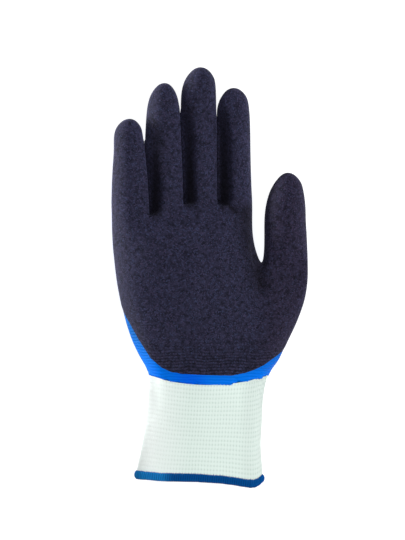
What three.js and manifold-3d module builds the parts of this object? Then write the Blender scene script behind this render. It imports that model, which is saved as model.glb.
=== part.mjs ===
// A seamless knitted work glove for the right hand, dipped twice in nitrile and lying palm up on its back.
// White knit runs through the whole glove and shows at the cuff. A thin blue coat covers the hand, a
// thicker foam coat covers the palm, the fingers' fronts and their tips, and an overlocked hem binds the
// cuff's edge. Millimetres: X runs across the hand to the thumb, Y along it and Z up out of the palm.
import * as THREE from "three";
import Module from "manifold-3d";

// Walls of the three layers and the air between them
const KNIT_WALL = 1.0;
const FLAT_COAT_WALL = 0.45;
const GRIP_COAT_WALL = 0.7;
const LAYER_GAP = 0.2;

// How deep each layer lies under the outermost skin, which is the outside of the grip coat
const GRIP_COAT = { outside: 0, inside: GRIP_COAT_WALL };
const FLAT_COAT = layerUnder(GRIP_COAT, FLAT_COAT_WALL);
const KNIT = layerUnder(FLAT_COAT, KNIT_WALL);

// Cuff and hand up to the thumb's crotch, one row for each section. left and right are the outline seen from
// above, back and palm the lowest and highest points. bow moves the middle of the palm side towards the cuff,
// fan spreads the columns from even (0) to in line with the fingers (1), rise lifts the thumb's side, and
// hollow sinks the middle of the palm. What a row leaves out is 0.
const HEM_SECTION = { y: -122.4, left: -46.4, right: 34.8, back: 1.3, palm: 26.5, bow: 0.6 };
const CUFF_SECTIONS = [
  { y: -106, left: -43.2, right: 33.8, back: 1.2, palm: 26.6, bow: 0.4 },
  { y: -90, left: -40.6, right: 34.2, back: 1.0, palm: 27.3, bow: 1.5, rise: 0.3 },
  { y: -75, left: -39.0, right: 35.2, back: 0.7, palm: 28.3, bow: 3.5, fan: 0.1, rise: 0.6 },
];
const EDGE_SECTION = { y: -60.5, left: -38.4, right: 38, back: 0.3, palm: 29.6, bow: 5.5, fan: 0.2, rise: 1 };
const HEEL_SECTION = { y: -51.5, left: -42.8, right: 43.8, back: -0.9, palm: 31.4, bow: 5, fan: 0.4, rise: 2 };
const HAND_SECTIONS = [
  { y: -36, left: -49.7, right: 50.6, back: -2.4, palm: 33.4, bow: 3, fan: 0.6, rise: 3.5, hollow: 0.4 },
  { y: -13, left: -55.4, right: 59.3, back: -3.2, palm: 33.6, bow: 1, fan: 0.9, rise: 6, hollow: 1.8 },
];
const CROTCH_SECTION = { y: 8, left: -58.5, right: 61.1, back: -3.4, palm: 31.6, fan: 1, rise: 7.5, hollow: 2 };

// The palm between the thumb's crotch and the fingers
const PALM_SECTIONS = [
  { y: 23, left: -59.7, right: 27.8, back: -3.2, palm: 29.2, hollow: 1.6 },
];
const KNUCKLE_SECTION = { y: 41, left: -60.2, right: 27.0, back: -2.2, palm: 26.6 };

// Where two fingers part: the deepest point of the web, and the heights of its two lips
const CROTCHES = [
  { x: -37.0, y: 39.2, z: 12.6, palmLip: 22.6, backLip: 2.8 },
  { x: -15.9, y: 45.2, z: 12.6, palmLip: 22.8, backLip: 2.8 },
  { x: 5.4, y: 45.2, z: 12.6, palmLip: 22.8, backLip: 2.8 },
];
const THUMB_CROTCH = { x: 32.4, y: 9.4, z: 15.5, palmLip: 27.0, backLip: 5.0 };
const LIP_SETBACK = 3.2;

// Fingers and thumb, one row for each section across the finger: its middle, its width and its thickness
const DIGITS = {
  little: {
    rings: [
      { x: -48.8, y: 52, z: 12.4, width: 22.5, thick: 20.8 },
      { x: -49.1, y: 66, z: 12.6, width: 21.0, thick: 19.8 },
      { x: -49.3, y: 81, z: 14.2, width: 18.7, thick: 18.6 },
      { x: -49.3, y: 92.6, z: 16.0, width: 15.4, thick: 14.6 },
    ],
    tip: { x: -48.7, y: 98.3, z: 17.0 },
  },
  ring: {
    rings: [
      { x: -26.7, y: 55, z: 12.5, width: 21.0, thick: 21.2 },
      { x: -28.0, y: 76, z: 12.7, width: 22.0, thick: 20.4 },
      { x: -28.3, y: 98, z: 14.8, width: 20.9, thick: 19.4 },
      { x: -27.6, y: 113.6, z: 17.4, width: 15.2, thick: 15.0 },
    ],
    tip: { x: -27.0, y: 120.2, z: 18.8 },
  },
  middle: {
    rings: [
      { x: -5.4, y: 55, z: 12.5, width: 20.6, thick: 21.4 },
      { x: -6.0, y: 80, z: 12.8, width: 21.4, thick: 20.8 },
      { x: -6.4, y: 106, z: 15.2, width: 21.8, thick: 19.8 },
      { x: -5.1, y: 122.6, z: 18.2, width: 17.8, thick: 15.8 },
    ],
    tip: { x: -4.3, y: 130.0, z: 19.8 },
  },
  index: {
    rings: [
      { x: 15.9, y: 55, z: 12.5, width: 21.0, thick: 21.0 },
      { x: 15.6, y: 74, z: 12.7, width: 20.6, thick: 20.2 },
      { x: 15.3, y: 95, z: 14.7, width: 20.3, thick: 19.2 },
      { x: 15.6, y: 110.2, z: 17.2, width: 16.8, thick: 15.2 },
    ],
    tip: { x: 15.5, y: 117.2, z: 18.6 },
  },
  thumb: {
    rings: [
      { x: 47.5, y: 20, z: 19.5, width: 26.6, thick: 25.6 },
      { x: 47.1, y: 36, z: 21.0, width: 25.8, thick: 24.2 },
      { x: 47.8, y: 48, z: 22.8, width: 23.2, thick: 22.2 },
      { x: 49.1, y: 58.4, z: 24.8, width: 15.9, thick: 15.8 },
    ],
    tip: { x: 49.0, y: 64.4, z: 26.0 },
  },
};

// Section shape of the hand and cuff: columns across the width, and how boxy the section is
const EVEN_COLUMNS = [0.07, 0.235, 0.41, 0.59, 0.765, 0.93];
const EDGE_COLUMN = 7;
const SLEEVE_BOXINESS = 2.7;

// How the rows' bow, rise and hollow are spread over a section, and how much of them each side takes
const SPREAD = { bow: 4, rise: 3, hollow: 6 };
const PALM_SIDE_RISE = 0.35;
const BACK_BOW = 0.3;
const SIXTH_TURN = Math.PI / 3;

// The foam coat is dipped palm down: the height of the bath's surface on the little finger's side, in line
// with the index finger and beyond the thumb, a row for each place along the hand
const BATH_COLUMNS = { little: -70, index: 30, thumb: 70 };
const BATH_SURFACE = [
  { y: -72, little: 30.0, index: 22.0, thumb: 24.0 },
  { y: -18, little: 16.4, index: 9.7, thumb: 12.0 },
  { y: 6, little: 13.0, index: 9.7, thumb: 15.5 },
  { y: 50, little: 9.4, index: 8.6, thumb: 20.0 },
  { y: 70, little: 8.0, index: 7.8, thumb: 15.0 },
  { y: 95, little: 6.0, index: 7.4, thumb: 8.0 },
  { y: 140, little: 4.5, index: 4.5, thumb: 4.5 },
];
const BATH_TOP = 60;

// Across the heel of the hand the foam ends in an arc, seen from above, and leaves a band of the blue coat
const HEEL_ARC = [
  [-61, -7],
  [-53.3, -20.3],
  [-42.5, -38.9],
  [-35.5, -49.8],
  [-28.6, -55.5],
  [-22.9, -58.4],
  [-16.1, -59.4],
  [-1.2, -60.1],
  [14.3, -60.3],
  [22.9, -58.7],
  [28.7, -56.7],
  [34.4, -54.1],
  [44, -47.5],
  [56.4, -37],
];
const BEYOND_HAND = 200;

// Overlocked hem: section across the wall and along the cuff, and its slot for the knit's edge
const HEM_HALF_THICK = 2.75;
const HEM_HALF_LENGTH = 2.9;
const HEM_SIDES = 8;
const HEM_SLOT_CLEARANCE = 0.25;
const HEM_SLOPE = -0.055;
const HEM_WAVE = 0.75;

// The cuff's knit and the hand's knit part under the coat, a little beyond its edge
const KNIT_PARTING = 0.3;

// Rounds of moving the mesh until its smooth skin passes through the sections above, and how much a layer's
// depth is lengthened at most in a crease
const FIT_ROUNDS = 24;
const MITRE_LIMIT = 1.5;

const FINISHES = {
  knit: { color: 0xe9f1ee, roughness: 0.9, metalness: 0 },
  flatCoat: { color: 0x0d7de6, roughness: 0.45, metalness: 0 },
  gripCoat: { color: 0x23233a, roughness: 0.95, metalness: 0 },
  hem: { color: 0x0c5aa3, roughness: 0.85, metalness: 0 },
};

const wasm = await Module();
wasm.setup();

function layerUnder(layer, wall) {
  const outside = layer.inside + LAYER_GAP;
  return { outside, inside: outside + wall };
}

const point = (x, y, z) => new THREE.Vector3(x, y, z);

// The knit's edge waves and falls towards the thumb's side
function hemWave(x) {
  const across = (x - HEM_SECTION.left) / (HEM_SECTION.right - HEM_SECTION.left);
  return HEM_SLOPE * (x - HEM_SECTION.left) + HEM_WAVE * Math.sin(2 * Math.PI * across);
}

// Columns of the palm side: two at the edges and those in line with the crotches
function fingerColumns(left, right, crotches) {
  return [left + EDGE_COLUMN, ...crotches.map((crotch) => crotch.x), right - EDGE_COLUMN];
}

// A section of the hand or cuff as a ring: left side, palm side, right side and back of the hand
function sleeveRing(section, columns) {
  const { left, right, back, palm, bow = 0, rise = 0, hollow = 0 } = section;
  const middle = (back + palm) / 2;
  const half = (palm - back) / 2;
  const share = (x) => (x - left) / (right - left);
  const arch = (x) => (1 - Math.abs(2 * share(x) - 1) ** SLEEVE_BOXINESS) ** (1 / SLEEVE_BOXINESS);
  const lift = (x) => rise * share(x) ** SPREAD.rise;
  const palmSide = columns.map((x) => {
    const bowed = section.y - bow * arch(x) ** SPREAD.bow;
    const sunk = half * arch(x) - hollow * arch(x) ** SPREAD.hollow;
    return point(x, bowed, middle + PALM_SIDE_RISE * lift(x) + sunk);
  });
  const backBowed = section.y - BACK_BOW * bow;
  const backSide = columns.map((x) => point(x, backBowed, middle + lift(x) - half * arch(x)));
  const leftSide = point(left, section.y, middle);
  const rightSide = point(right, section.y, middle + lift(right));
  return [leftSide, ...palmSide, rightSide, ...backSide.reverse()];
}

// Across a section the columns go from evenly spread at the cuff to in line with the fingers' webs
function sectionColumns(section) {
  const { left, right, fan = 0 } = section;
  const fanned = fingerColumns(left, right, [...CROTCHES, THUMB_CROTCH]);
  return EVEN_COLUMNS.map((share, i) => {
    const even = left + share * (right - left);
    return even + fan * (fanned[i] - even);
  });
}

// Six points round a finger, from its left side over the palm side, square to the finger's own line
function digitRing(ring, ahead, behind) {
  const along = point(ahead.x - behind.x, ahead.y - behind.y, ahead.z - behind.z).normalize();
  const across = along.clone().cross(point(0, 0, 1)).normalize();
  const up = across.clone().cross(along).normalize();
  return [0, 1, 2, 3, 4, 5].map((step) => {
    const turn = Math.PI - step * SIXTH_TURN;
    return point(ring.x, ring.y, ring.z)
      .addScaledVector(across, (Math.cos(turn) * ring.width) / 2)
      .addScaledVector(up, (Math.sin(turn) * ring.thick) / 2);
  });
}

// The glove's skin as a mesh of quads. points are where the finished smooth skin has to pass.
function layOutSkin() {
  const points = [];
  const quads = [];
  const add = (positions) => positions.map((p) => points.push(p) - 1);
  const bridge = (from, to, zone) =>
    from.forEach((_, i) => {
      const next = (i + 1) % from.length;
      quads.push({ corners: [from[i], from[next], to[next], to[i]], zone });
    });

  const hemRing = sleeveRing(HEM_SECTION, sectionColumns(HEM_SECTION));
  hemRing.forEach((p) => (p.y += hemWave(p.x)));
  let last = add(hemRing);
  const sleeve = (zone, sections) => {
    for (const section of sections) {
      const ring = add(sleeveRing(section, sectionColumns(section)));
      bridge(last, ring, zone);
      last = ring;
    }
  };
  sleeve("cuff", [...CUFF_SECTIONS, EDGE_SECTION]);
  sleeve("heel", [HEEL_SECTION]);
  sleeve("hand", [...HAND_SECTIONS, CROTCH_SECTION]);

  // A web joins the palm side to the back of the hand between two fingers
  const web = (crotch, palmLip, backLip) => {
    points[palmLip].set(crotch.x, crotch.y - LIP_SETBACK, crotch.palmLip);
    points[backLip].set(crotch.x, crotch.y - LIP_SETBACK, crotch.backLip);
    return add([point(crotch.x, crotch.y, crotch.z)])[0];
  };
  const digit = (base, { rings, tip }) => {
    rings.forEach((ring, i) => {
      const loop = add(digitRing(ring, rings[i + 1] ?? tip, rings[i - 1] ?? ring));
      bridge(base, loop, "hand");
      base = loop;
    });
    const [end] = add([point(tip.x, tip.y, tip.z)]);
    for (const i of [0, 2, 4]) {
      quads.push({ corners: [base[i], base[i + 1], base[(i + 2) % 6], end], zone: "hand" });
    }
  };

  const [sideL, p0, p1, p2, p3, p4, p5, sideR, b5, b4, b3, b2, b1, b0] = last;
  const thumbWeb = web(THUMB_CROTCH, p4, b4);
  digit([thumbWeb, p4, p5, sideR, b5, b4], DIGITS.thumb);

  last = [sideL, p0, p1, p2, p3, p4, thumbWeb, b4, b3, b2, b1, b0];
  for (const section of [...PALM_SECTIONS, KNUCKLE_SECTION]) {
    const ring = add(sleeveRing(section, fingerColumns(section.left, section.right, CROTCHES)));
    bridge(last, ring, "hand");
    last = ring;
  }

  const palmSide = last.slice(1, 6);
  const backSide = last.slice(7).reverse();
  const webs = CROTCHES.map((crotch, i) => web(crotch, palmSide[i + 1], backSide[i + 1]));
  const sides = [last[0], ...webs, last[6]];
  [DIGITS.little, DIGITS.ring, DIGITS.middle, DIGITS.index].forEach((finger, i) => {
    digit([sides[i], palmSide[i], palmSide[i + 1], sides[i + 1], backSide[i + 1], backSide[i]], finger);
  });
  return { points, quads };
}

// Each point's neighbours: along edges, across quads, and along the open edge of the cuff
function neighboursOf({ points, quads }) {
  const around = points.map(() => ({ edges: new Map(), diagonals: [] }));
  for (const { corners } of quads) {
    corners.forEach((corner, i) => {
      const next = corners[(i + 1) % 4];
      const previous = corners[(i + 3) % 4];
      const { edges, diagonals } = around[corner];
      diagonals.push(corners[(i + 2) % 4]);
      edges.set(next, (edges.get(next) ?? 0) + 1);
      edges.set(previous, (edges.get(previous) ?? 0) + 1);
    });
  }
  return around.map(({ edges, diagonals }) => ({
    edges: [...edges.keys()],
    diagonals,
    rim: [...edges].filter(([, uses]) => uses === 1).map(([other]) => other),
  }));
}

const sum = (points, list) => list.reduce((total, i) => total.add(points[i]), point(0, 0, 0));

// Where each point ends up on the smooth skin that repeated Catmull-Clark subdivision gives
function smoothed(points, neighbours) {
  return points.map((p, i) => {
    const { edges, diagonals, rim } = neighbours[i];
    if (rim.length) return sum(points, rim).addScaledVector(p, 4).divideScalar(6);
    const n = edges.length;
    return sum(points, edges)
      .multiplyScalar(4)
      .add(sum(points, diagonals))
      .addScaledVector(p, n * n)
      .divideScalar(n * (n + 5));
  });
}

// Moves the mesh's points until its smooth skin passes through where they were
function fitted({ points, quads }) {
  const neighbours = neighboursOf({ points, quads });
  let moved = points.map((p) => p.clone());
  for (let round = 0; round < FIT_ROUNDS; round += 1) {
    const reached = smoothed(moved, neighbours);
    moved = moved.map((p, i) => p.clone().add(points[i]).sub(reached[i]));
  }
  return { points: moved, quads };
}

// One round of Catmull-Clark subdivision
function subdivided({ points, quads }) {
  const neighbours = neighboursOf({ points, quads });
  const fresh = [];
  const faceOf = quads.map(({ corners }) => fresh.push(sum(points, corners).divideScalar(4)) - 1);
  const edges = new Map();
  const edgeKey = (a, b) => (a < b ? `${a} ${b}` : `${b} ${a}`);
  quads.forEach(({ corners }, q) => {
    corners.forEach((a, i) => {
      const b = corners[(i + 1) % 4];
      const key = edgeKey(a, b);
      if (!edges.has(key)) edges.set(key, { ends: [a, b], faces: [] });
      edges.get(key).faces.push(faceOf[q]);
    });
  });
  for (const edge of edges.values()) {
    const total = sum(points, edge.ends);
    if (edge.faces.length === 2) total.add(sum(fresh, edge.faces)).divideScalar(4);
    else total.divideScalar(2);
    edge.place = fresh.push(total) - 1;
  }
  const faceSum = points.map(() => point(0, 0, 0));
  quads.forEach(({ corners }, q) => corners.forEach((corner) => faceSum[corner].add(fresh[faceOf[q]])));
  const cornerOf = points.map((p, i) => {
    const { edges: near, rim } = neighbours[i];
    if (rim.length) return fresh.push(sum(points, rim).addScaledVector(p, 6).divideScalar(8)) - 1;
    const n = near.length;
    const edgeShare = sum(points, near).addScaledVector(p, n).divideScalar(n * n);
    const faceShare = faceSum[i].divideScalar(n * n);
    return fresh.push(edgeShare.add(faceShare).addScaledVector(p, (n - 3) / n)) - 1;
  });
  const finer = quads.flatMap(({ corners, zone }, q) =>
    corners.map((a, i) => {
      const after = edges.get(edgeKey(a, corners[(i + 1) % 4])).place;
      const before = edges.get(edgeKey(a, corners[(i + 3) % 4])).place;
      return { corners: [cornerOf[a], after, faceOf[q], before], zone };
    }),
  );
  return { points: fresh, quads: finer };
}

// The way out of the skin at each point, lengthened at creases so that a layer keeps its depth beside them
function waysOut({ points, quads }) {
  const faceNormals = quads.map(({ corners }) => {
    const [a, b, c, d] = corners.map((i) => points[i]);
    return c.clone().sub(a).cross(d.clone().sub(b)).normalize();
  });
  const around = points.map(() => []);
  quads.forEach(({ corners }, q) => corners.forEach((i) => around[i].push(faceNormals[q])));
  return around.map((faces) => {
    const out = faces.reduce((total, normal) => total.add(normal), point(0, 0, 0)).normalize();
    const slant = faces.reduce((total, normal) => total + out.dot(normal), 0) / faces.length;
    return out.multiplyScalar(Math.min(1 / slant, MITRE_LIMIT));
  });
}

// The skin sunk to a depth. Below the resting plane it is pressed flat, each layer on the one under it.
function skinAt(depth) {
  const floor = depth - FLAT_COAT.outside;
  return skin.points.map((p, i) => {
    const sunk = p.clone().addScaledVector(skinWaysOut[i], -depth);
    if (depth >= FLAT_COAT.outside) sunk.z = Math.max(sunk.z, floor);
    return sunk;
  });
}

// Edges that belong to one quad only, in the quad's own direction
function openEdges(quads) {
  const seen = new Map();
  for (const { corners } of quads) {
    corners.forEach((a, i) => {
      const b = corners[(i + 1) % 4];
      if (!seen.delete(`${b} ${a}`)) seen.set(`${a} ${b}`, [a, b]);
    });
  }
  return [...seen.values()];
}

function solidFrom(positions, triangles) {
  const mesh = new wasm.Mesh({
    numProp: 3,
    vertProperties: new Float32Array(positions.flatMap((p) => [p.x, p.y, p.z])),
    triVerts: new Uint32Array(triangles.flat()),
  });
  return new wasm.Manifold(mesh);
}

// A wall between two sets of places for the same points, closed round its open edge
function wall(quads, outer, inner) {
  const used = [...new Set(quads.flatMap(({ corners }) => corners))];
  const place = new Map(used.map((p, i) => [p, i]));
  const under = used.length;
  const positions = [...used.map((i) => outer[i]), ...used.map((i) => inner[i])];
  const triangles = [];
  for (const { corners } of quads) {
    const [a, b, c, d] = corners.map((i) => place.get(i));
    triangles.push([a, b, c], [a, c, d]);
    triangles.push([a + under, c + under, b + under], [a + under, d + under, c + under]);
  }
  for (const edge of openEdges(quads)) {
    const [a, b] = edge.map((i) => place.get(i));
    triangles.push([b, a, a + under], [b, a + under, b + under]);
  }
  return solidFrom(positions, triangles);
}

// The bath of foam as a solid: everything above its surface, which the palm-down hand was dipped in
function bath() {
  const columns = Object.entries(BATH_COLUMNS);
  const surface = BATH_SURFACE.flatMap((row) => columns.map(([name, x]) => point(x, row.y, row[name])));
  const above = surface.map(({ x, y }) => point(x, y, BATH_TOP));
  const quads = [];
  for (let row = 1; row < BATH_SURFACE.length; row += 1) {
    for (let column = 1; column < columns.length; column += 1) {
      const far = row * columns.length + column;
      const near = far - columns.length;
      quads.push({ corners: [near - 1, near, far, far - 1] });
    }
  }
  return wall(quads, above, surface);
}

// Everything on the fingers' side of the arc across the heel
function pastHeel() {
  const [first, last] = [HEEL_ARC[0], HEEL_ARC.at(-1)];
  const outline = [
    ...HEEL_ARC,
    [BEYOND_HAND, last[1]],
    [BEYOND_HAND, BEYOND_HAND],
    [-BEYOND_HAND, BEYOND_HAND],
    [-BEYOND_HAND, first[1]],
  ];
  return new wasm.CrossSection([outline]).extrude(BATH_TOP);
}

// The hem follows the knit's edge, and a slot in it holds that edge
function hem() {
  const nextOf = new Map(openEdges(skin.quads));
  const loop = [nextOf.keys().next().value];
  while (nextOf.get(loop.at(-1)) !== loop[0]) loop.push(nextOf.get(loop.at(-1)));
  const knitOutside = skinAt(KNIT.outside);
  const knitInside = skinAt(KNIT.inside);
  const outOfMouth = point(0, -1, 0);
  const positions = [];
  for (const i of loop) {
    const middle = knitOutside[i].clone().add(knitInside[i]).divideScalar(2);
    const outward = knitOutside[i].clone().sub(knitInside[i]).setY(0).normalize();
    for (let side = 0; side < HEM_SIDES; side += 1) {
      const turn = (2 * Math.PI * side) / HEM_SIDES;
      const p = middle
        .clone()
        .addScaledVector(outward, Math.cos(turn) * HEM_HALF_THICK)
        .addScaledVector(outOfMouth, Math.sin(turn) * HEM_HALF_LENGTH);
      p.z = Math.max(p.z, 0);
      positions.push(p);
    }
  }
  const at = (ring, side) => (ring % loop.length) * HEM_SIDES + (side % HEM_SIDES);
  const triangles = [];
  loop.forEach((_, ring) => {
    for (let side = 0; side < HEM_SIDES; side += 1) {
      const [a, b, c, d] = [at(ring, side), at(ring + 1, side), at(ring + 1, side + 1), at(ring, side + 1)];
      triangles.push([a, c, b], [a, d, c]);
    }
  });
  const tube = solidFrom(positions, triangles);

  const roomForKnit = {
    outside: KNIT.outside - HEM_SLOT_CLEARANCE,
    inside: KNIT.inside + HEM_SLOT_CLEARANCE,
  };
  return tube.subtract(layer(zones("cuff"), roomForKnit, new Set(loop), -HEM_SLOT_CLEARANCE));
}

function zones(...names) {
  return skin.quads.filter(({ zone }) => names.includes(zone));
}

// One layer of the glove over some of the skin's quads. One of its edges may be moved along the hand.
function layer(quads, { outside, inside }, edge = new Set(), shift = 0) {
  const places = (depth) => skinAt(depth).map((p, i) => (edge.has(i) ? p.setY(p.y + shift) : p));
  return wall(quads, places(outside), places(inside));
}

function meshOf(solid, name, finish) {
  const { vertProperties, triVerts } = solid.getMesh();
  const geometry = new THREE.BufferGeometry();
  geometry.setAttribute("position", new THREE.BufferAttribute(vertProperties, 3));
  geometry.setIndex(new THREE.BufferAttribute(triVerts, 1));
  geometry.computeVertexNormals();
  const mesh = new THREE.Mesh(geometry, new THREE.MeshStandardMaterial(finish));
  mesh.name = name;
  return mesh;
}

const finer = subdivided(fitted(layOutSkin()));
const skin = { points: smoothed(finer.points, neighboursOf(finer)), quads: finer.quads };
const skinWaysOut = waysOut(skin);

const cuffKnit = zones("cuff", "heel");
const handKnit = zones("hand");
const coated = zones("heel", "hand");
const knitPart = new Set(openEdges(handKnit).flat());

const glove = new THREE.Group();
glove.add(
  meshOf(layer(cuffKnit, KNIT, knitPart, -KNIT_PARTING / 2), "knit_cuff", FINISHES.knit),
  meshOf(layer(handKnit, KNIT, knitPart, KNIT_PARTING / 2), "knit_liner", FINISHES.knit),
  meshOf(layer(coated, FLAT_COAT), "flat_coat", FINISHES.flatCoat),
  meshOf(layer(coated, GRIP_COAT).intersect(bath()).intersect(pastHeel()), "grip_coat", FINISHES.gripCoat),
  meshOf(hem(), "cuff_hem", FINISHES.hem),
);

// The origin is on the resting plane, under the middle of the outline seen from above
const middle = new THREE.Box3().setFromObject(glove).getCenter(new THREE.Vector3());
glove.position.set(-middle.x, -middle.y, 0);

const model = new THREE.Group();
model.add(glove);
export default model;
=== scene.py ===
# %% [markdown]
# # A dipped work glove, modelled layer by layer
# The real glove starts as a white seamless knit. It is dipped in blue nitrile up to the wrist, and its palm
# and fingertips are dipped again in a dark foam that dries sandy. The cuff stays bare knit, and a thick
# overlocked hem binds its edge. The glove lies palm up on its back, at the size and place of the CAD frame.

# %% The frame
import math

import bmesh
import bpy
import numpy as np
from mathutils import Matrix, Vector, noise


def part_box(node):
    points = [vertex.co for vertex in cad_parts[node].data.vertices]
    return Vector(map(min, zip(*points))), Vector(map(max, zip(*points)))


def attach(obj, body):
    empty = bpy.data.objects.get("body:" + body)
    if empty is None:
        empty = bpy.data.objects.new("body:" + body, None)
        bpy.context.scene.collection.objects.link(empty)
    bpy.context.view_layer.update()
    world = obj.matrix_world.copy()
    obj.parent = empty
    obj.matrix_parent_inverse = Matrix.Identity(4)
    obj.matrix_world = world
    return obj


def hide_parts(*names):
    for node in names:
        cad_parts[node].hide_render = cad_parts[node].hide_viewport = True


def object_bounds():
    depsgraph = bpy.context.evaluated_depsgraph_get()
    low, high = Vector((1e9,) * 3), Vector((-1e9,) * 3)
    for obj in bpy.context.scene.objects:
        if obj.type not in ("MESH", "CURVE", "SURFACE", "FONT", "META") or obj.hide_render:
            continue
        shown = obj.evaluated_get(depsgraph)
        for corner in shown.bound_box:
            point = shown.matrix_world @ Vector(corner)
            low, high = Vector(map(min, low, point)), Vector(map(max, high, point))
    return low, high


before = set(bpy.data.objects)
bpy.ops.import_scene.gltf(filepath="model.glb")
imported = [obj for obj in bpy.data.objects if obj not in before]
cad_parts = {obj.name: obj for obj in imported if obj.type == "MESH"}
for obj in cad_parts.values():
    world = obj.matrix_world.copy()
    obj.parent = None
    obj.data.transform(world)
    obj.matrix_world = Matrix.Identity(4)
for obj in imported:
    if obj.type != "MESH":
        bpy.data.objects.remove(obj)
cad_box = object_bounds()
MM = 0.001
NODES = ("knit_cuff", "knit_liner", "flat_coat", "grip_coat", "cuff_hem")
for name in NODES:
    low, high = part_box(name)
    print(name, "spans", [round(side / MM, 1) for side in high - low], "mm")

# %% [markdown]
# ## The hand form
# On the real thing a porcelain hand stretches the knit while it is dipped, and a real hand rounds it when it
# is worn. Both give one smooth skin. It could be sculpted, but a cage of large quads under a Subdivision
# Surface is easier to keep true to measured sections. These tables are the sections, in millimetres.

# %% Sections of the cuff and the hand
# left and right are the outline seen from above, back and palm the lowest and highest points. bow moves the
# middle of the palm side towards the cuff, fan spreads the columns from even to in line with the fingers,
# rise lifts the thumb's side, hollow sinks the middle of the palm, and boxy squares the thumb's side.
SLEEVE = [
    dict(y=-122.4, left=-46.4, right=34.8, back=1.3, palm=26.5, bow=0.6, boxy=4.2),
    dict(y=-106.0, left=-43.2, right=33.8, back=1.2, palm=26.6, bow=0.4, boxy=4.2),
    dict(y=-90.0, left=-40.6, right=34.2, back=1.0, palm=27.3, bow=1.5, rise=0.3, boxy=4.0),
    dict(y=-75.0, left=-39.0, right=35.2, back=0.7, palm=28.3, bow=3.5, fan=0.1, rise=0.6, boxy=3.4),
    dict(y=-60.5, left=-38.4, right=38.0, back=0.3, palm=29.6, bow=5.5, fan=0.2, rise=1.0),
    dict(y=-51.5, left=-42.2, right=43.8, back=-0.9, palm=31.4, bow=5.0, fan=0.4, rise=2.0),
    dict(y=-36.0, left=-49.4, right=50.6, back=-2.4, palm=33.4, bow=3.0, fan=0.6, rise=3.5, hollow=0.4),
    dict(y=-13.0, left=-55.4, right=59.3, back=-3.2, palm=33.6, bow=1.0, fan=0.9, rise=6.0, hollow=1.8),
    dict(y=8.0, left=-58.5, right=61.1, back=-3.4, palm=31.6, fan=1.0, rise=7.5, hollow=2.0),
]
KNUCKLES = [
    dict(y=23.0, left=-59.7, right=27.8, back=-3.2, palm=29.2, hollow=1.6),
    dict(y=41.0, left=-60.2, right=27.0, back=-2.2, palm=26.6),
]
FINGER_CROTCHES = [
    dict(x=-37.0, y=39.2, z=12.6, palm_lip=22.6, back_lip=2.8),
    dict(x=-15.9, y=45.2, z=12.6, palm_lip=22.8, back_lip=2.8),
    dict(x=5.4, y=45.2, z=12.6, palm_lip=22.8, back_lip=2.8),
]
THUMB_CROTCH = dict(x=32.4, y=9.4, z=15.5, palm_lip=27.0, back_lip=5.0)
# A crotch's two lips are this much nearer to the wrist than its web
LIP_SETBACK = 3.2
# Columns of the cage: shares of the width near the cuff, and how far the outer ones are from a palm's edge
EVEN_COLUMNS = (0.07, 0.235, 0.41, 0.59, 0.765, 0.93)
EDGE_COLUMN = 7
# How square a section is (2 is an ellipse), and how close each change keeps to its own place
BOXINESS = 2.7
BOW_SPREAD, RISE_SPREAD, HOLLOW_SPREAD = 4, 3, 6
PALM_SIDE_RISE, BACK_BOW = 0.35, 0.3
HEM_SLOPE, HEM_WAVE = -0.055, 0.75


def finger_columns(left, right, crotches):
    """Columns across the palm side: one near each edge, and one in line with each crotch."""
    return [left + EDGE_COLUMN, *(crotch["x"] for crotch in crotches), right - EDGE_COLUMN]


def sleeve_columns(row):
    """Columns across a section of the sleeve, which go from even to in line with the fingers."""
    left, right = row["left"], row["right"]
    fanned = finger_columns(left, right, [*FINGER_CROTCHES, THUMB_CROTCH])
    even = [left + share * (right - left) for share in EVEN_COLUMNS]
    return [a + row.get("fan", 0) * (b - a) for a, b in zip(even, fanned)]


def section_ring(row, columns):
    """A section as a ring of points: left side, palm side, right side, back of the hand."""
    left, right, y = row["left"], row["right"], row["y"]
    bow, rise, hollow = (row.get(name, 0) for name in ("bow", "rise", "hollow"))
    middle, half = (row["back"] + row["palm"]) / 2, (row["palm"] - row["back"]) / 2

    def arch(x):
        across = 2 * (x - left) / (right - left) - 1
        boxy = row.get("boxy", BOXINESS) if across > 0 else BOXINESS
        return (1 - abs(across) ** boxy) ** (1 / boxy)

    def lift(x):
        return rise * ((x - left) / (right - left)) ** RISE_SPREAD

    def palm_height(x):
        return middle + PALM_SIDE_RISE * lift(x) + half * arch(x) - hollow * arch(x) ** HOLLOW_SPREAD

    palm_side = [(x, y - bow * arch(x) ** BOW_SPREAD, palm_height(x)) for x in columns]
    back_side = [(x, y - BACK_BOW * bow, middle + lift(x) - half * arch(x)) for x in reversed(columns)]
    return [(left, y, middle), *palm_side, (right, y, middle + lift(right)), *back_side]


def hem_wave(x):
    """How far the knit's edge waves, and falls towards the thumb's side."""
    across = (x - SLEEVE[0]["left"]) / (SLEEVE[0]["right"] - SLEEVE[0]["left"])
    return HEM_SLOPE * (x - SLEEVE[0]["left"]) + HEM_WAVE * math.sin(math.tau * across)


print(len(SLEEVE) + len(KNUCKLES), "sections across the cuff and the hand")

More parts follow.
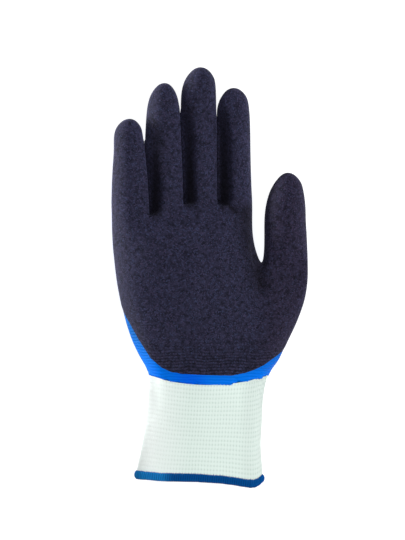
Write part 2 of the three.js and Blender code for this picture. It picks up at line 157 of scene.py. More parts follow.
# %% Sections of the fingers and the thumb
# Each ring of a digit has its middle, width and thickness. The last row is only the point of its tip
RING_FACTS = ("x", "y", "z", "width", "thick")
DIGIT_TABLE = dict(
    thumb=[
        (47.5, 20.0, 19.5, 26.6, 25.6),
        (47.1, 36.0, 21.0, 25.8, 24.2),
        (47.8, 48.0, 22.8, 23.2, 22.2),
        (49.1, 58.4, 24.8, 15.9, 15.8),
        (49.0, 64.4, 26.0),
    ],
    little=[
        (-48.45, 52.0, 12.4, 23.4, 20.8),
        (-48.7, 66.0, 12.6, 21.9, 19.8),
        (-49.3, 81.0, 14.2, 18.9, 18.6),
        (-49.3, 92.6, 16.0, 15.4, 14.6),
        (-48.7, 98.3, 17.0),
    ],
    ring=[
        (-26.7, 55.0, 12.5, 22.6, 21.2),
        (-28.0, 76.0, 12.7, 23.4, 20.4),
        (-28.0, 98.0, 14.8, 21.6, 19.4),
        (-27.6, 113.6, 17.4, 15.2, 15.0),
        (-27.0, 120.2, 18.8),
    ],
    middle=[
        (-5.5, 55.0, 12.5, 22.0, 21.4),
        (-5.95, 80.0, 12.8, 22.8, 20.8),
        (-6.45, 106.0, 15.2, 21.9, 19.8),
        (-5.1, 122.6, 18.2, 17.8, 15.8),
        (-4.3, 130.0, 19.8),
    ],
    index=[
        (15.6, 55.0, 12.5, 21.8, 21.0),
        (15.3, 74.0, 12.7, 21.6, 20.2),
        (15.1, 95.0, 14.7, 21.2, 19.2),
        (15.6, 110.2, 17.2, 16.8, 15.2),
        (15.5, 117.2, 18.6),
    ],
)
DIGITS = {name: [dict(zip(RING_FACTS, row)) for row in rows] for name, rows in DIGIT_TABLE.items()}
RING_SIDES = 6


def centre(row):
    return Vector((row["x"], row["y"], row["z"]))


def digit_ring(row, ahead, behind):
    """Six points round a finger, from its left side over the palm side, square to the finger's own line."""
    along = (centre(ahead) - centre(behind)).normalized()
    across = along.cross(Vector((0, 0, 1))).normalized()
    up = across.cross(along)
    turns = [math.pi - math.tau * step / RING_SIDES for step in range(RING_SIDES)]
    return [
        centre(row) + across * math.cos(turn) * row["width"] / 2 + up * math.sin(turn) * row["thick"] / 2
        for turn in turns
    ]


print(len(DIGITS), "digits")

# %% [markdown]
# ## Building the cage
# A circle is the knit's edge at the wrist, and its edges are extruded from section to section. Each new
# vertex is set on its section, as one would drag it by hand. Between two fingers an edge joins the palm side
# to the back of the hand, and the vertex in its middle is the web. Each finger grows from a loop of six
# edges, and its end is filled, poked and turned into three quads.

# %% Edit-mode helpers
RING_SIZE = 2 * (len(EVEN_COLUMNS) + 1)
START_RADIUS = 40 * MM
bpy.ops.object.select_all(action="DESELECT")
bpy.ops.mesh.primitive_circle_add(vertices=RING_SIZE, radius=START_RADIUS, fill_type="NOTHING")
form = bpy.context.object
form.name = "hand_form"
bpy.ops.object.mode_set(mode="EDIT")


def cage():
    """The form's mesh in edit mode, with its vertices numbered in the order they were made."""
    mesh = bmesh.from_edit_mesh(form.data)
    mesh.verts.index_update()
    mesh.verts.ensure_lookup_table()
    return mesh


def place(vertices, points):
    mesh = cage()
    for vertex, point in zip(vertices, points):
        mesh.verts[vertex].co = Vector(point) * MM
    bmesh.update_edit_mesh(form.data)


def select_edges(pairs):
    bpy.ops.mesh.select_mode(type="EDGE")
    bpy.ops.mesh.select_all(action="DESELECT")
    mesh = cage()
    for a, b in pairs:
        mesh.edges.get((mesh.verts[a], mesh.verts[b])).select_set(True)
    bmesh.update_edit_mesh(form.data)


def around(loop):
    return list(zip(loop, loop[1:] + loop[:1]))


print("the knit's edge starts as", len(cage().verts), "vertices")

# %% How the hand grows
digit_vertices = {}


def extrude(loop, points):
    """Extrudes a loop of edges and sets the new vertices on their points."""
    select_edges(around(loop))
    bpy.ops.mesh.extrude_edges_indiv()
    mesh = cage()
    fresh = []
    for old in loop:
        others = [edge.other_vert(mesh.verts[old]) for edge in mesh.verts[old].link_edges]
        fresh += [vertex.index for vertex in others if vertex.select]
    place(fresh, points)
    return fresh


def add_web(crotch, palm_lip, back_lip):
    """Joins the palm side to the back of the hand, with the web's vertex in the middle."""
    lips = [(crotch["x"], crotch["y"] - LIP_SETBACK, crotch[lip]) for lip in ("palm_lip", "back_lip")]
    place([palm_lip, back_lip], lips)
    bpy.ops.mesh.select_mode(type="VERT")
    bpy.ops.mesh.select_all(action="DESELECT")
    mesh = cage()
    mesh.verts[palm_lip].select_set(True)
    mesh.verts[back_lip].select_set(True)
    bmesh.update_edit_mesh(form.data)
    bpy.ops.mesh.edge_face_add()
    bpy.ops.mesh.subdivide(number_cuts=1)
    web = len(cage().verts) - 1
    place([web], [centre(crotch)])
    return web


def grow_digit(base, name):
    """Extrudes a finger from its base loop and closes its end with three quads."""
    *rings, tip = DIGITS[name]
    first = len(cage().verts)
    for i, ring in enumerate(rings):
        ahead = rings[i + 1] if i + 1 < len(rings) else tip
        behind = rings[i - 1] if i else ring
        base = extrude(base, digit_ring(ring, ahead, behind))
    select_edges(around(base))
    bpy.ops.mesh.edge_face_add()
    bpy.ops.mesh.poke()
    end = len(cage().verts) - 1
    place([end], [centre(tip)])
    select_edges([(end, base[i]) for i in (1, 3, 5)])
    bpy.ops.mesh.dissolve_edges(use_verts=False)
    digit_vertices[name] = range(first, end + 1)


print("an edge is extruded, a web is joined, and a digit grows from a loop of", RING_SIDES, "edges")

# %% Sleeve, thumb and palm
loop = list(range(RING_SIZE))
first = section_ring(SLEEVE[0], sleeve_columns(SLEEVE[0]))
place(loop, [(x, y + hem_wave(x), z) for x, y, z in first])
for row in SLEEVE[1:]:
    loop = extrude(loop, section_ring(row, sleeve_columns(row)))

side_l, p0, p1, p2, p3, p4, p5, side_r, b5, b4, b3, b2, b1, b0 = loop
thumb_web = add_web(THUMB_CROTCH, p4, b4)
grow_digit([thumb_web, p4, p5, side_r, b5, b4], "thumb")

loop = [side_l, p0, p1, p2, p3, p4, thumb_web, b4, b3, b2, b1, b0]
for row in KNUCKLES:
    loop = extrude(loop, section_ring(row, finger_columns(row["left"], row["right"], FINGER_CROTCHES)))
print("the hand has", len(cage().faces), "quads")

# %% Webs and fingers
palm_side, back_side = loop[1:6], loop[:6:-1]
webs = [
    add_web(crotch, palm_side[i + 1], back_side[i + 1]) for i, crotch in enumerate(FINGER_CROTCHES)
]
sides = [loop[0], *webs, loop[6]]
for i, name in enumerate(("little", "ring", "middle", "index")):
    base = [sides[i], palm_side[i], palm_side[i + 1], sides[i + 1], back_side[i + 1], back_side[i]]
    grow_digit(base, name)

bpy.ops.mesh.select_all(action="SELECT")
bpy.ops.mesh.normals_make_consistent(inside=False)
bpy.ops.object.mode_set(mode="OBJECT")
print("the cage has", len(form.data.vertices), "vertices and", len(form.data.polygons), "quads")

# %% [markdown]
# ## Fitting the smooth skin
# Subdivision pulls the surface inside its cage, so the fingers would come out thin. The cage is therefore
# pushed out, round by round, by what its smooth surface falls short of the sections. Then the skin is slid
# so that its outline agrees with the frame's.

# %% Fit the cage
FIT_ROUNDS = 24
ZONES = {name: i for i, name in enumerate(["cuff", "heel", "hand", *DIGITS])}
CUFF_RINGS, HEEL_RINGS = 5, 6


def vectors(items, name):
    """A vector of every vertex, such as its place or its normal, as rows of three numbers."""
    values = np.empty(len(items) * 3)
    items.foreach_get(name, values)
    return values.reshape(-1, 3)


def positions(obj):
    return vectors(obj.data.vertices, "co")


def normals_of(obj):
    return vectors(obj.data.vertex_normals, "vector")


def set_positions(obj, points):
    obj.data.vertices.foreach_set("co", np.ascontiguousarray(points, float).ravel())
    obj.data.update()


smooth = form.modifiers.new("Smooth skin", "SUBSURF")
smooth.levels = smooth.render_levels = 1
wanted = positions(form)
for _ in range(FIT_ROUNDS):
    evaluated = form.evaluated_get(bpy.context.evaluated_depsgraph_get())
    reached = positions(evaluated)[: len(wanted)]
    miss = wanted - reached
    set_positions(form, positions(form) + miss)
    form.update_tag()
print("after fitting, the skin misses its sections by", round(abs(miss).max() / MM, 4), "mm")

for face in form.data.polygons:
    newest = max(face.vertices)
    in_cuff, in_heel = newest < CUFF_RINGS * RING_SIZE, newest < HEEL_RINGS * RING_SIZE
    digit = next((name for name, own in digit_vertices.items() if newest in own), "hand")
    face.material_index = ZONES["cuff" if in_cuff else "heel" if in_heel else digit]

# The thumb's right side and the middle finger's tip set where the skin lies in the frame
slide_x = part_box("grip_coat")[1].x - wanted[:, 0].max()
slide_y = cad_box[1][1] - DIGITS["middle"][-1]["y"] * MM
set_positions(form, positions(form) + (slide_x, slide_y, 0))
print("slid by", round(slide_x / MM, 2), "and", round(slide_y / MM, 2), "mm")

# %% [markdown]
# ## Relaxing the skin
# Fabric on a hand is never a perfect tube. Where the thumb meets the palm it folds, and the palm has soft
# swells. The folds are pressed into the subdivided skin along its normals, as one would with a crease brush
# in sculpt mode, but from a short table, so that each layer gets the same folds.

# %% Folds and swells
# A fold runs from its start to its end in millimetres. depth is how far it is pressed in at the start and
# the end, and width is its half width. A fold with a depth below 0 is a raised lip.
FOLDS = [
    dict(start=(30.4, 12.0), end=(31.4, -16.0), depth=(3.2, 0.0), width=3.4),
    dict(start=(26.0, 20.0), end=(29.6, 2.0), depth=(0.9, 0.1), width=1.7),
    dict(start=(10.2, 46.0), end=(15.8, 40.8), depth=(2.4, 1.5), width=1.8),
    dict(start=(2.0, 22.0), end=(3.0, -26.0), depth=(-2.1, -2.1), width=14.0),
    dict(start=(-38.0, 18.0), end=(-34.0, -24.0), depth=(-0.4, -0.4), width=9.0),
    dict(start=(41.0, -18.0), end=(37.0, -46.0), depth=(-0.9, -0.9), width=9.0),
    dict(start=(-35.6, 36.5), end=(-28.4, 43.0), depth=(-0.5, -0.3), width=2.4),
    dict(start=(-12.6, 41.5), end=(-6.0, 47.5), depth=(-0.4, -0.3), width=2.4),
    dict(start=(14.0, 46.5), end=(15.4, 53.0), depth=(-0.9, -0.1), width=2.4),
]
SWELL_SIZES = dict(palm=26.0, small=9.0)
SWELL_HEIGHTS = dict(palm=0.8, small=0.16)
# The underside keeps this share of the swells. They fade out towards the wrist, where the layers part
SWELL_BELOW = 0.3
SWELL_FADE = (-58.0, -40.0)
# The upright part of a normal from which a place counts as facing up, and where it does fully
FACING_UP = (0.0, 0.5)


def fade(value, start, end):
    """0 before start, 1 after end, and smooth between them."""
    share = np.clip((np.asarray(value) - start) / (end - start), 0, 1)
    return share * share * (3 - 2 * share)


def swell(points, size):
    return np.array([noise.noise(Vector(point) / (size * MM)) for point in points])


def near_line(flat, start, end):
    """How far along a line each point is, from 0 to 1, and how far it is away from the line."""
    start, run = np.array(start), np.array(end) - np.array(start)
    share = np.clip((flat - start) @ run / (run @ run), 0, 1)
    return share, np.linalg.norm(flat - (start + share[:, None] * run), axis=1)


def pressed_in(points, normals):
    """How far each point of the skin is pressed in, in metres."""
    facing_up = fade(normals[:, 2], *FACING_UP)
    flat = points[:, :2] / MM
    depth = np.zeros(len(points))
    for fold in FOLDS:
        share, away = near_line(flat, fold["start"], fold["end"])
        deep = fold["depth"][0] + share**2 * (fold["depth"][1] - fold["depth"][0])
        depth += facing_up * deep * np.exp(-((away / fold["width"]) ** 2))
    share = (SWELL_BELOW + (1 - SWELL_BELOW) * facing_up) * fade(flat[:, 1], *SWELL_FADE)
    for name, size in SWELL_SIZES.items():
        depth += share * SWELL_HEIGHTS[name] * swell(points, size)
    return depth * MM


print(len(FOLDS), "folds and", len(SWELL_SIZES), "sizes of swell")

# %% [markdown]
# ## Fingers that touch
# The fingers of the glove lie side by side and flatten each other. A cloth simulation with collisions could
# find that shape. But the line along which two fingers meet is seen from above, so it is enough to move what
# would cross that line back onto it, and to let the surface behind it follow softly.

# %% Fingers that touch
CONTACTS = [
    dict(left="little", right="ring", line=[(-36.7, 40.0), (-37.8, 60.0), (-40.1, 85.0)]),
    dict(left="ring", right="middle", line=[(-15.7, 45.0), (-16.1, 60.0), (-17.9, 103.5)]),
    dict(left="middle", right="index", line=[(5.4, 45.0), (5.0, 60.0), (4.95, 100.0)]),
]
CONTACT_GAP = 0.01 * MM
# What is nearer to the contact than NEAR is pressed onto it, and what is farther than FAR stays
CONTACT_NEAR, CONTACT_FAR = 1.5 * MM, 4.0 * MM
# A contact starts and ends softly, over these places before and past the ends of its line
CONTACT_START, CONTACT_END, CONTACT_PAST = (-2 * MM, 1 * MM), (-3 * MM, 1 * MM), 3 * MM


def contact_x(contact, points):
    """Where the contact between two fingers is, for each point."""
    line_x, line_y = np.array(contact["line"]).T
    return np.interp(points[:, 1] / MM, line_y, line_x) * MM + slide_x


def zone_faces(piece, *names):
    """Which faces belong to these zones of the glove."""
    zones = np.empty(len(piece.data.polygons), int)
    piece.data.polygons.foreach_get("material_index", zones)
    return np.isin(zones, [ZONES[name] for name in names])


def press_together(piece, points):
    """Flattens neighbouring fingers against each other, with next to no gap."""
    corners = np.array([list(face.vertices) for face in piece.data.polygons])
    for contact in CONTACTS:
        first_y, last_y = contact["line"][0][1] * MM, contact["line"][-1][1] * MM
        y = points[:, 1]
        near = CONTACT_NEAR * fade(y, *(first_y + soft for soft in CONTACT_START))
        near *= 1 - fade(y, *(last_y + soft for soft in CONTACT_END))
        for digit, side in ((contact["left"], -1), (contact["right"], 1)):
            own = np.zeros(len(points), bool)
            own[corners[zone_faces(piece, digit)].ravel()] = True
            own &= y < last_y + CONTACT_PAST
            away = side * (points[:, 0] - contact_x(contact, points)) - CONTACT_GAP / 2
            closer = np.clip((away - near) * CONTACT_FAR / (CONTACT_FAR - near), 0, None)
            points[:, 0] += np.where(own & (away < CONTACT_FAR), side * (closer - away), 0)
    return points


print(len(CONTACTS), "pairs of fingers touch")

# %% [markdown]
# ## Sides pressed flat
# In the photo three fingers have a flat left side, with a soft edge between it and the round palm side. A
# Bisect would cut them flat, but with a sharp edge. So each of them is pressed by a tilted board that gives
# way a little, which rounds the edge.

# %% Sides pressed flat
# The board gives way by its softness, and presses from a little below the finger's middle to above it
BOARD_TILT = math.radians(54)
BOARD_SOFTNESS = 2.6 * MM
BOARD_LOWEST, BOARD_FULL = -2.5 * MM, 1.0 * MM
# How deep each side is pressed, and from where to where along the finger. The start moves up the finger by
# slant for each millimetre across, and takes BOARD_START millimetres to reach the full depth
PRESSED_SIDES = [
    dict(digit="ring", deep=4.0, starts=36.6, slant=0.45, full_to=52.0, gone_at=100.0),
    dict(digit="middle", deep=3.9, starts=42.6, slant=0.05, full_to=82.0, gone_at=121.0),
    dict(digit="index", deep=4.6, starts=42.0, slant=0.25, full_to=84.0, gone_at=113.0),
]
BOARD_START = 5.0


def along_digit(name, points):
    """Middle and half sizes of a finger's section at each point, from its table."""
    rings = DIGITS[name][:-1]
    rings_y = [ring["y"] for ring in rings]
    columns = ((ring["x"], ring["z"], ring["width"] / 2, ring["thick"] / 2) for ring in rings)
    return [np.interp(points[:, 1] / MM, rings_y, column) * MM for column in zip(*columns)]


def press_sides(points):
    """Presses the left sides of three fingers flat."""
    sine, cosine = math.sin(BOARD_TILT), math.cos(BOARD_TILT)
    for side in PRESSED_SIDES:
        middle_x, middle_z, half_width, half_thick = along_digit(side["digit"], points)
        contact = next(line for line in CONTACTS if line["right"] == side["digit"])
        y = points[:, 1] / MM
        starts = side["starts"] + side["slant"] * (points[:, 0] - contact_x(contact, points)) / MM
        deep = side["deep"] * MM * fade(y, starts, starts + BOARD_START)
        deep *= 1 - fade(y, side["full_to"], side["gone_at"])
        reach = np.hypot(half_width * sine, half_thick * cosine)
        out = cosine * (points[:, 2] - middle_z) - sine * (points[:, 0] - slide_x - middle_x)
        past = out - reach + deep
        push = np.where(past > BOARD_SOFTNESS, past, (past + BOARD_SOFTNESS) ** 2 / (4 * BOARD_SOFTNESS))
        push[(past < -BOARD_SOFTNESS) | (deep <= 0) | (points[:, 0] < contact_x(contact, points))] = 0
        push *= fade(deep, 0, BOARD_SOFTNESS) * fade(points[:, 2] - middle_z, BOARD_LOWEST, BOARD_FULL)
        points[:, 0] += sine * push
        points[:, 2] -= cosine * push
    return points


print(len(PRESSED_SIDES), "fingers are pressed flat on their left sides")

# %% [markdown]
# ## Copies of the skin
# Every layer of the glove starts as a copy of this skin. The subdivision is applied first, so that the folds,
# the contacts and the pressed sides move real vertices, and the same way in each layer.

# %% Copies of the skin


def activate(obj):
    bpy.ops.object.select_all(action="DESELECT")
    obj.select_set(True)
    bpy.context.view_layer.objects.active = obj


def skin_copy(name, level):
    """A copy of the form with its subdivision applied, the folds pressed in and the fingers together."""
    piece = bpy.data.objects.new(name, form.data.copy())
    bpy.context.collection.objects.link(piece)
    activate(piece)
    subdivision = piece.modifiers.new("Smooth skin", "SUBSURF")
    subdivision.levels = subdivision.render_levels = level
    bpy.ops.object.modifier_apply(modifier=subdivision.name)
    points, normals = positions(piece), normals_of(piece)
    points -= normals * pressed_in(points, normals)[:, None]
    set_positions(piece, press_sides(press_together(piece, points)))
    bpy.ops.object.shade_smooth()
    return piece


print("the skin is ready to be copied")

# %% [markdown]
# ## Layers of the glove
# Each layer is the skin sunk by its depth, with the faces that it doesn't cover deleted and a wall given by
# Solidify. The depths follow the real order: foam outside, blue nitrile under it, knit inside. Where the
# glove rests, its weight presses every layer flat.

# %% Depths and walls
GRIP_WALL, FLAT_WALL, KNIT_WALL, LAYER_GAP = 0.7 * MM, 0.45 * MM, 1.0 * MM, 0.2 * MM
FLAT_DEPTH = GRIP_WALL + LAYER_GAP
KNIT_DEPTH = FLAT_DEPTH + FLAT_WALL + LAYER_GAP


def keep_faces(piece, kept):
    """Deletes the faces that aren't kept, with what they leave loose."""
    piece.data.polygons.foreach_set("select", [not keep for keep in kept])
    activate(piece)
    bpy.ops.object.mode_set(mode="EDIT")
    bpy.ops.mesh.select_mode(type="FACE")
    bpy.ops.mesh.delete(type="FACE")
    bpy.ops.object.mode_set(mode="OBJECT")


def print_triangles(piece):
    piece.data.calc_loop_triangles()
    print(piece.name, len(piece.data.loop_triangles), "triangles")


def rest_flat(points, floor):
    points[:, 2] = np.maximum(points[:, 2], floor)
    return points


def thicken(piece, wall):
    """Gives the piece a wall of this thickness towards its inside, and closes its edges."""
    activate(piece)
    outside = len(piece.data.vertices)
    solid = piece.modifiers.new("Wall", "SOLIDIFY")
    solid.thickness = wall
    solid.offset = -1
    solid.use_quality_normals = True
    bpy.ops.object.modifier_apply(modifier=solid.name)
    floor = positions(piece)[:outside, 2].min()
    points = positions(piece)
    points[outside:] = rest_flat(points[outside:], floor + wall)
    set_positions(piece, points)


print("layers at", [round(depth / MM, 2) for depth in (0, FLAT_DEPTH, KNIT_DEPTH)], "mm")

# %% [markdown]
# ## The blue coat
# The first dip is a thin, smooth film over the whole hand. At the wrist it stops in small steps, because the
# liquid creeps along the courses of the knit. The skin's last row of vertices is dragged onto that stepped
# line, and the film thins out over its last millimetres.

# %% Blue coat


def film_skin(name, level, depth, floor):
    """The skin from the wrist to the fingertips, sunk to this depth and flat where it rests."""
    piece = skin_copy(name, level)
    set_positions(piece, rest_flat(positions(piece) - normals_of(piece) * depth, floor))
    keep_faces(piece, zone_faces(piece, "heel", "hand", *DIGITS))
    return piece


blue_coat = film_skin("blue_coat", 4, FLAT_DEPTH, 0)
print("the blue coat's outside has", len(blue_coat.data.polygons), "faces")

# %% Stepped edge of the blue coat
# Where the film ends, in millimetres across the wrist and past the skin's even edge: positive is nearer to
# the cuff's hem
FILM_STEPS = [
    (-39.5, -3.0), (-36.0, -2.2), (-33.0, -0.4), (-30.5, -0.6), (-27.5, -0.5),
    (-25.4, -1.6), (-24.4, -1.0), (-23.4, 0.3), (-18.4, -1.2), (-17.0, -0.1),
    (-12.0, -0.5), (-8.4, -1.8), (-6.6, -1.3), (-5.4, -0.6), (8.0, 0.2),
    (14.6, 1.0), (15.6, -2.4), (20.0, -0.9), (24.4, 0.3), (25.2, -1.0),
    (29.0, 0.1), (32.6, 1.3), (33.8, 0.4), (36.4, 0.2), (38.0, 1.2),
]
FILM_RIPPLE = dict(height=0.22, length=1.9)
# On the back of the hand, which isn't seen, the edge only wanders
FILM_WANDER = dict(height=1.0, size=5)
PALM_SIDE = (-0.2, 0.2)
# The rows of vertices that the steps are spread over, and how far the last one sinks onto the knit
FILM_EDGE_ROWS, FILM_DIVE = 6, 0.2 * MM


def edge_rows(piece, count):
    """Rows of vertices from the piece's open edge inwards, each as a set."""
    mesh = bmesh.new()
    mesh.from_mesh(piece.data)
    rows = [{vertex.index for vertex in mesh.verts if vertex.is_boundary}]
    seen = set(rows[0])
    mesh.verts.ensure_lookup_table()
    while len(rows) < count:
        near = {e.other_vert(mesh.verts[v]).index for v in rows[-1] for e in mesh.verts[v].link_edges}
        rows.append(near - seen)
        seen |= near
    mesh.free()
    return rows


points, normals = positions(blue_coat), normals_of(blue_coat)
rows = edge_rows(blue_coat, FILM_EDGE_ROWS)
table_x, table_past = np.array(FILM_STEPS).T * MM
table_x += slide_x
for number, row in enumerate(rows):
    row = sorted(row)
    share = 1 - number / (len(rows) - 1)
    x, up = points[row, 0], fade(normals[row, 2], *PALM_SIDE)
    ripple = FILM_RIPPLE["height"] * np.sin(math.tau * x / (FILM_RIPPLE["length"] * MM)) * MM
    waves = np.array([noise.noise(Vector((at / (FILM_WANDER["size"] * MM), 7, 0))) for at in x])
    wander = FILM_WANDER["height"] * MM * waves
    points[row, 1] -= share * (up * (np.interp(x, table_x, table_past) + ripple) + (1 - up) * wander)
    points[row] -= normals[row] * (FILM_DIVE * share**2)
set_positions(blue_coat, rest_flat(points, 0))
print("blue coat's edge has", len(rows[0]), "vertices")

# %% Inner side of the blue coat
# Places along the glove between which each open edge lies, in millimetres
WRIST_EDGE, HEM_EDGE = (-90, -40), (-140, -90)
SAME_PLACE = 0.01 * MM
blue_inside = film_skin("blue_inside", 3, FLAT_DEPTH + FLAT_WALL, FLAT_WALL)


def join_walls(outside, inside, edges):
    """Turns the inner side round, joins it to the outer one and closes the wall along its open edges."""
    activate(inside)
    bpy.ops.object.mode_set(mode="EDIT")
    bpy.ops.mesh.select_all(action="SELECT")
    bpy.ops.mesh.flip_normals()
    bpy.ops.object.mode_set(mode="OBJECT")
    outside.select_set(True)
    bpy.context.view_layer.objects.active = outside
    bpy.ops.object.join()
    bpy.ops.object.mode_set(mode="EDIT")
    bpy.ops.mesh.select_all(action="SELECT")
    bpy.ops.mesh.remove_doubles(threshold=SAME_PLACE)
    bpy.ops.mesh.select_mode(type="EDGE")
    for low, high in edges:
        bpy.ops.mesh.select_all(action="DESELECT")
        mesh = bmesh.from_edit_mesh(outside.data)
        for edge in mesh.edges:
            edge.select_set(edge.is_boundary and low * MM < edge.verts[0].co.y < high * MM)
        bmesh.update_edit_mesh(outside.data)
        bpy.ops.mesh.bridge_edge_loops()
    bpy.ops.mesh.select_all(action="SELECT")
    bpy.ops.mesh.normals_make_consistent(inside=False)
    bpy.ops.object.mode_set(mode="OBJECT")
    bpy.ops.object.shade_smooth()
    print_triangles(outside)


join_walls(blue_coat, blue_inside, [WRIST_EDGE])

# %% [markdown]
# ## The grip coat
# The second dip is a thicker foam. The hand goes in palm down, so the foam ends where the bath's surface was:
# an arc across the heel, and a line along the sides of the fingers. The foam's skin is made a little larger
# than the foam, and dives under the blue coat where the foam ends. That gives a clean, thin, rounded edge
# which doesn't have to follow the quads.

# %% Bath of foam
# Height of the bath's surface on the little finger's side, in line with the index finger and past the thumb
BATH_COLUMNS = dict(little=-70.0, index=30.0, thumb=70.0)
BATH_SURFACE = [
    dict(y=-72.0, little=30.0, index=22.0, thumb=24.0),
    dict(y=-18.0, little=16.4, index=9.7, thumb=12.0),
    dict(y=6.0, little=13.0, index=9.7, thumb=15.5),
    dict(y=50.0, little=9.4, index=8.6, thumb=20.0),
    dict(y=70.0, little=8.0, index=7.8, thumb=15.0),
    dict(y=95.0, little=6.0, index=7.4, thumb=8.0),
    dict(y=140.0, little=4.5, index=4.5, thumb=4.5),
]
# The slope along the skin is measured over a step, and is never taken as less than this
SLOPE_STEP, LEAST_SLOPE = 0.5 * MM, 0.15


def bath_height(x, y):
    rows_y = [row["y"] for row in BATH_SURFACE]
    heights = [np.interp(y / MM, rows_y, [row[name] for row in BATH_SURFACE]) for name in BATH_COLUMNS]
    little, index, thumb = heights
    left = (x / MM - BATH_COLUMNS["little"]) / (BATH_COLUMNS["index"] - BATH_COLUMNS["little"])
    right = (x / MM - BATH_COLUMNS["index"]) / (BATH_COLUMNS["thumb"] - BATH_COLUMNS["index"])
    low_side = little + left * (index - little)
    high_side = index + np.clip(right, 0, None) * (thumb - index)
    return np.where(right > 0, high_side, low_side) * MM


def above_bath(points, normals):
    """How far each point is past the bath's surface, measured along the skin."""
    step = SLOPE_STEP
    x, y, z = (points - (slide_x, slide_y, 0)).T
    height = z - bath_height(x, y)
    slope = np.ones_like(points)
    slope[:, 0] = (bath_height(x - step, y) - bath_height(x + step, y)) / (2 * step)
    slope[:, 1] = (bath_height(x, y - step) - bath_height(x, y + step)) / (2 * step)
    along = slope - (slope * normals).sum(1)[:, None] * normals
    return height / np.maximum(np.linalg.norm(along, axis=1), LEAST_SLOPE)


print("the bath's surface is set at", len(BATH_SURFACE), "places along the hand")

# %% Arc across the heel
# Where the foam ends across the heel of the hand, seen from above
HEEL_ARC = [
    (-62.0, -7.0), (-54.3, -20.3), (-43.5, -38.9), (-36.4, -49.8), (-29.2, -55.5),
    (-22.9, -58.4), (-19.6, -58.7), (-17.2, -59.3), (-1.2, -60.1), (14.3, -60.4),
    (22.9, -58.7), (28.7, -56.7), (34.4, -54.1), (44.0, -47.5), (56.4, -37.0),
]


def above_arc(points):
    """How far each point is past the arc across the heel, towards the fingers."""
    x, y = (points[:, 0] - slide_x) / MM, (points[:, 1] - slide_y) / MM
    arc_x, arc_y = np.array(HEEL_ARC).T
    slope = (np.interp(x + 1, arc_x, arc_y) - np.interp(x - 1, arc_x, arc_y)) / 2
    return (y - np.interp(x, arc_x, arc_y)) / np.hypot(1, slope) * MM


print("the arc has", len(HEEL_ARC), "points")

# %% Grip coat
# The foam's edge: the share of its thickness that it has at once, over how many millimetres, and how far in
# it reaches the full thickness
FOAM_EDGE = dict(thin=0.34, steep=1.3, full_at_heel=9.0, full_at_side=3.5)
# Past its edge the foam's skin goes on for a margin, and dives
FOAM_MARGIN, FOAM_DIVE = 3.0 * MM, 0.5 * MM
# Between two fingers that touch, the foam creeps further down. The creep starts just before the crotch
CREEP, CREEP_WIDTH, CREEP_START = 6.0 * MM, 4.0 * MM, (-10, -3)

grip_coat = skin_copy("foam_grip_coat", 4)
points, normals = positions(grip_coat), normals_of(grip_coat)
past_arc, past_bath = above_arc(points), above_bath(points, normals)
for contact in CONTACTS:
    between = np.exp(-(((points[:, 0] - contact_x(contact, points)) / CREEP_WIDTH) ** 2))
    starts = [contact["line"][0][1] + before for before in CREEP_START]
    past_bath += CREEP * between * fade(points[:, 1] / MM, *starts)
inside = np.minimum(past_arc, past_bath)
full = fade(past_arc, 0, FOAM_EDGE["full_at_heel"] * MM)
full *= fade(past_bath, 0, FOAM_EDGE["full_at_side"] * MM)
raised = FOAM_EDGE["thin"] * fade(inside, 0, FOAM_EDGE["steep"] * MM) + (1 - FOAM_EDGE["thin"]) * full
dive = np.clip(-inside / (2 * FOAM_EDGE["steep"] * MM), 0, 1)
depth = FLAT_DEPTH * (1 - raised) + FOAM_DIVE * dive
set_positions(grip_coat, points - normals * depth[:, None])
covered = inside > -FOAM_MARGIN
corners = [list(face.vertices) for face in grip_coat.data.polygons]
in_zone = zone_faces(grip_coat, "heel", "hand", *DIGITS)
keep_faces(grip_coat, [zone and covered[face].any() for zone, face in zip(in_zone, corners)])
print("grip coat's outside has", len(grip_coat.data.polygons), "faces")

# %% Painted shade on the foam
# In the crotches, along one crease and up the fingers' left sides the foam's colour is darkened as painted
# shade, where the scene's lights leave them too light. Each painted shade has a line, a half width, and its
# strength at the line's start and end. All are stored for the material as an attribute.
PAINTED_SHADE_LINES = [
    dict(line=[(22.6, 40.0), (24.4, 20.0), (29.4, 7.0), (31.4, -4.0)], width=6.0, strength=(0.8, 0.8)),
    dict(line=[(-33.6, 41.0), (-32.4, 94.0)], width=3.6, strength=(1.2, 0.5)),
    dict(line=[(-11.8, 47.0), (-12.8, 106.0)], width=3.6, strength=(1.2, 0.5)),
    dict(line=[(9.4, 47.0), (8.6, 100.0)], width=4.0, strength=(1.2, 0.6)),
    dict(line=[(9.4, 47.5), (12.6, 43.6), (16.2, 40.4)], width=1.5, strength=(1.0, 1.0)),
]


def painted_shade(points):
    """How much painted shade darkens the foam at each point, from 0 to 1."""
    flat = points[:, :2] / MM
    shade_amount = np.zeros(len(points))
    for shade_line in PAINTED_SHADE_LINES:
        nearest, along = np.full(len(points), np.inf), np.zeros(len(points))
        for number, (start, end) in enumerate(zip(shade_line["line"], shade_line["line"][1:])):
            share, away = near_line(flat, start, end)
            along = np.where(away < nearest, number + share, along)
            nearest = np.minimum(nearest, away)
        strength = np.interp(along, (0, len(shade_line["line"]) - 1), shade_line["strength"])
        shade_amount = np.maximum(shade_amount, strength * np.exp(-((nearest / shade_line["width"]) ** 2)))
    return np.minimum(shade_amount, 1)


painted_shades = grip_coat.data.attributes.new("painted_shade", "FLOAT", "POINT")
painted_shades.data.foreach_set("value", painted_shade(positions(grip_coat)))
print(len(PAINTED_SHADE_LINES), "painted_shades")

# %% Wall of the grip coat
FOAM_SHELL = 0.5 * MM
thicken(grip_coat, FOAM_SHELL)
print_triangles(grip_coat)

# %% [markdown]
# ## The liner inside the hand
# Only its mouth shows, deep in the cuff. It is the same skin at the knit's depth, so it needs no more detail
# than its knitted finish.

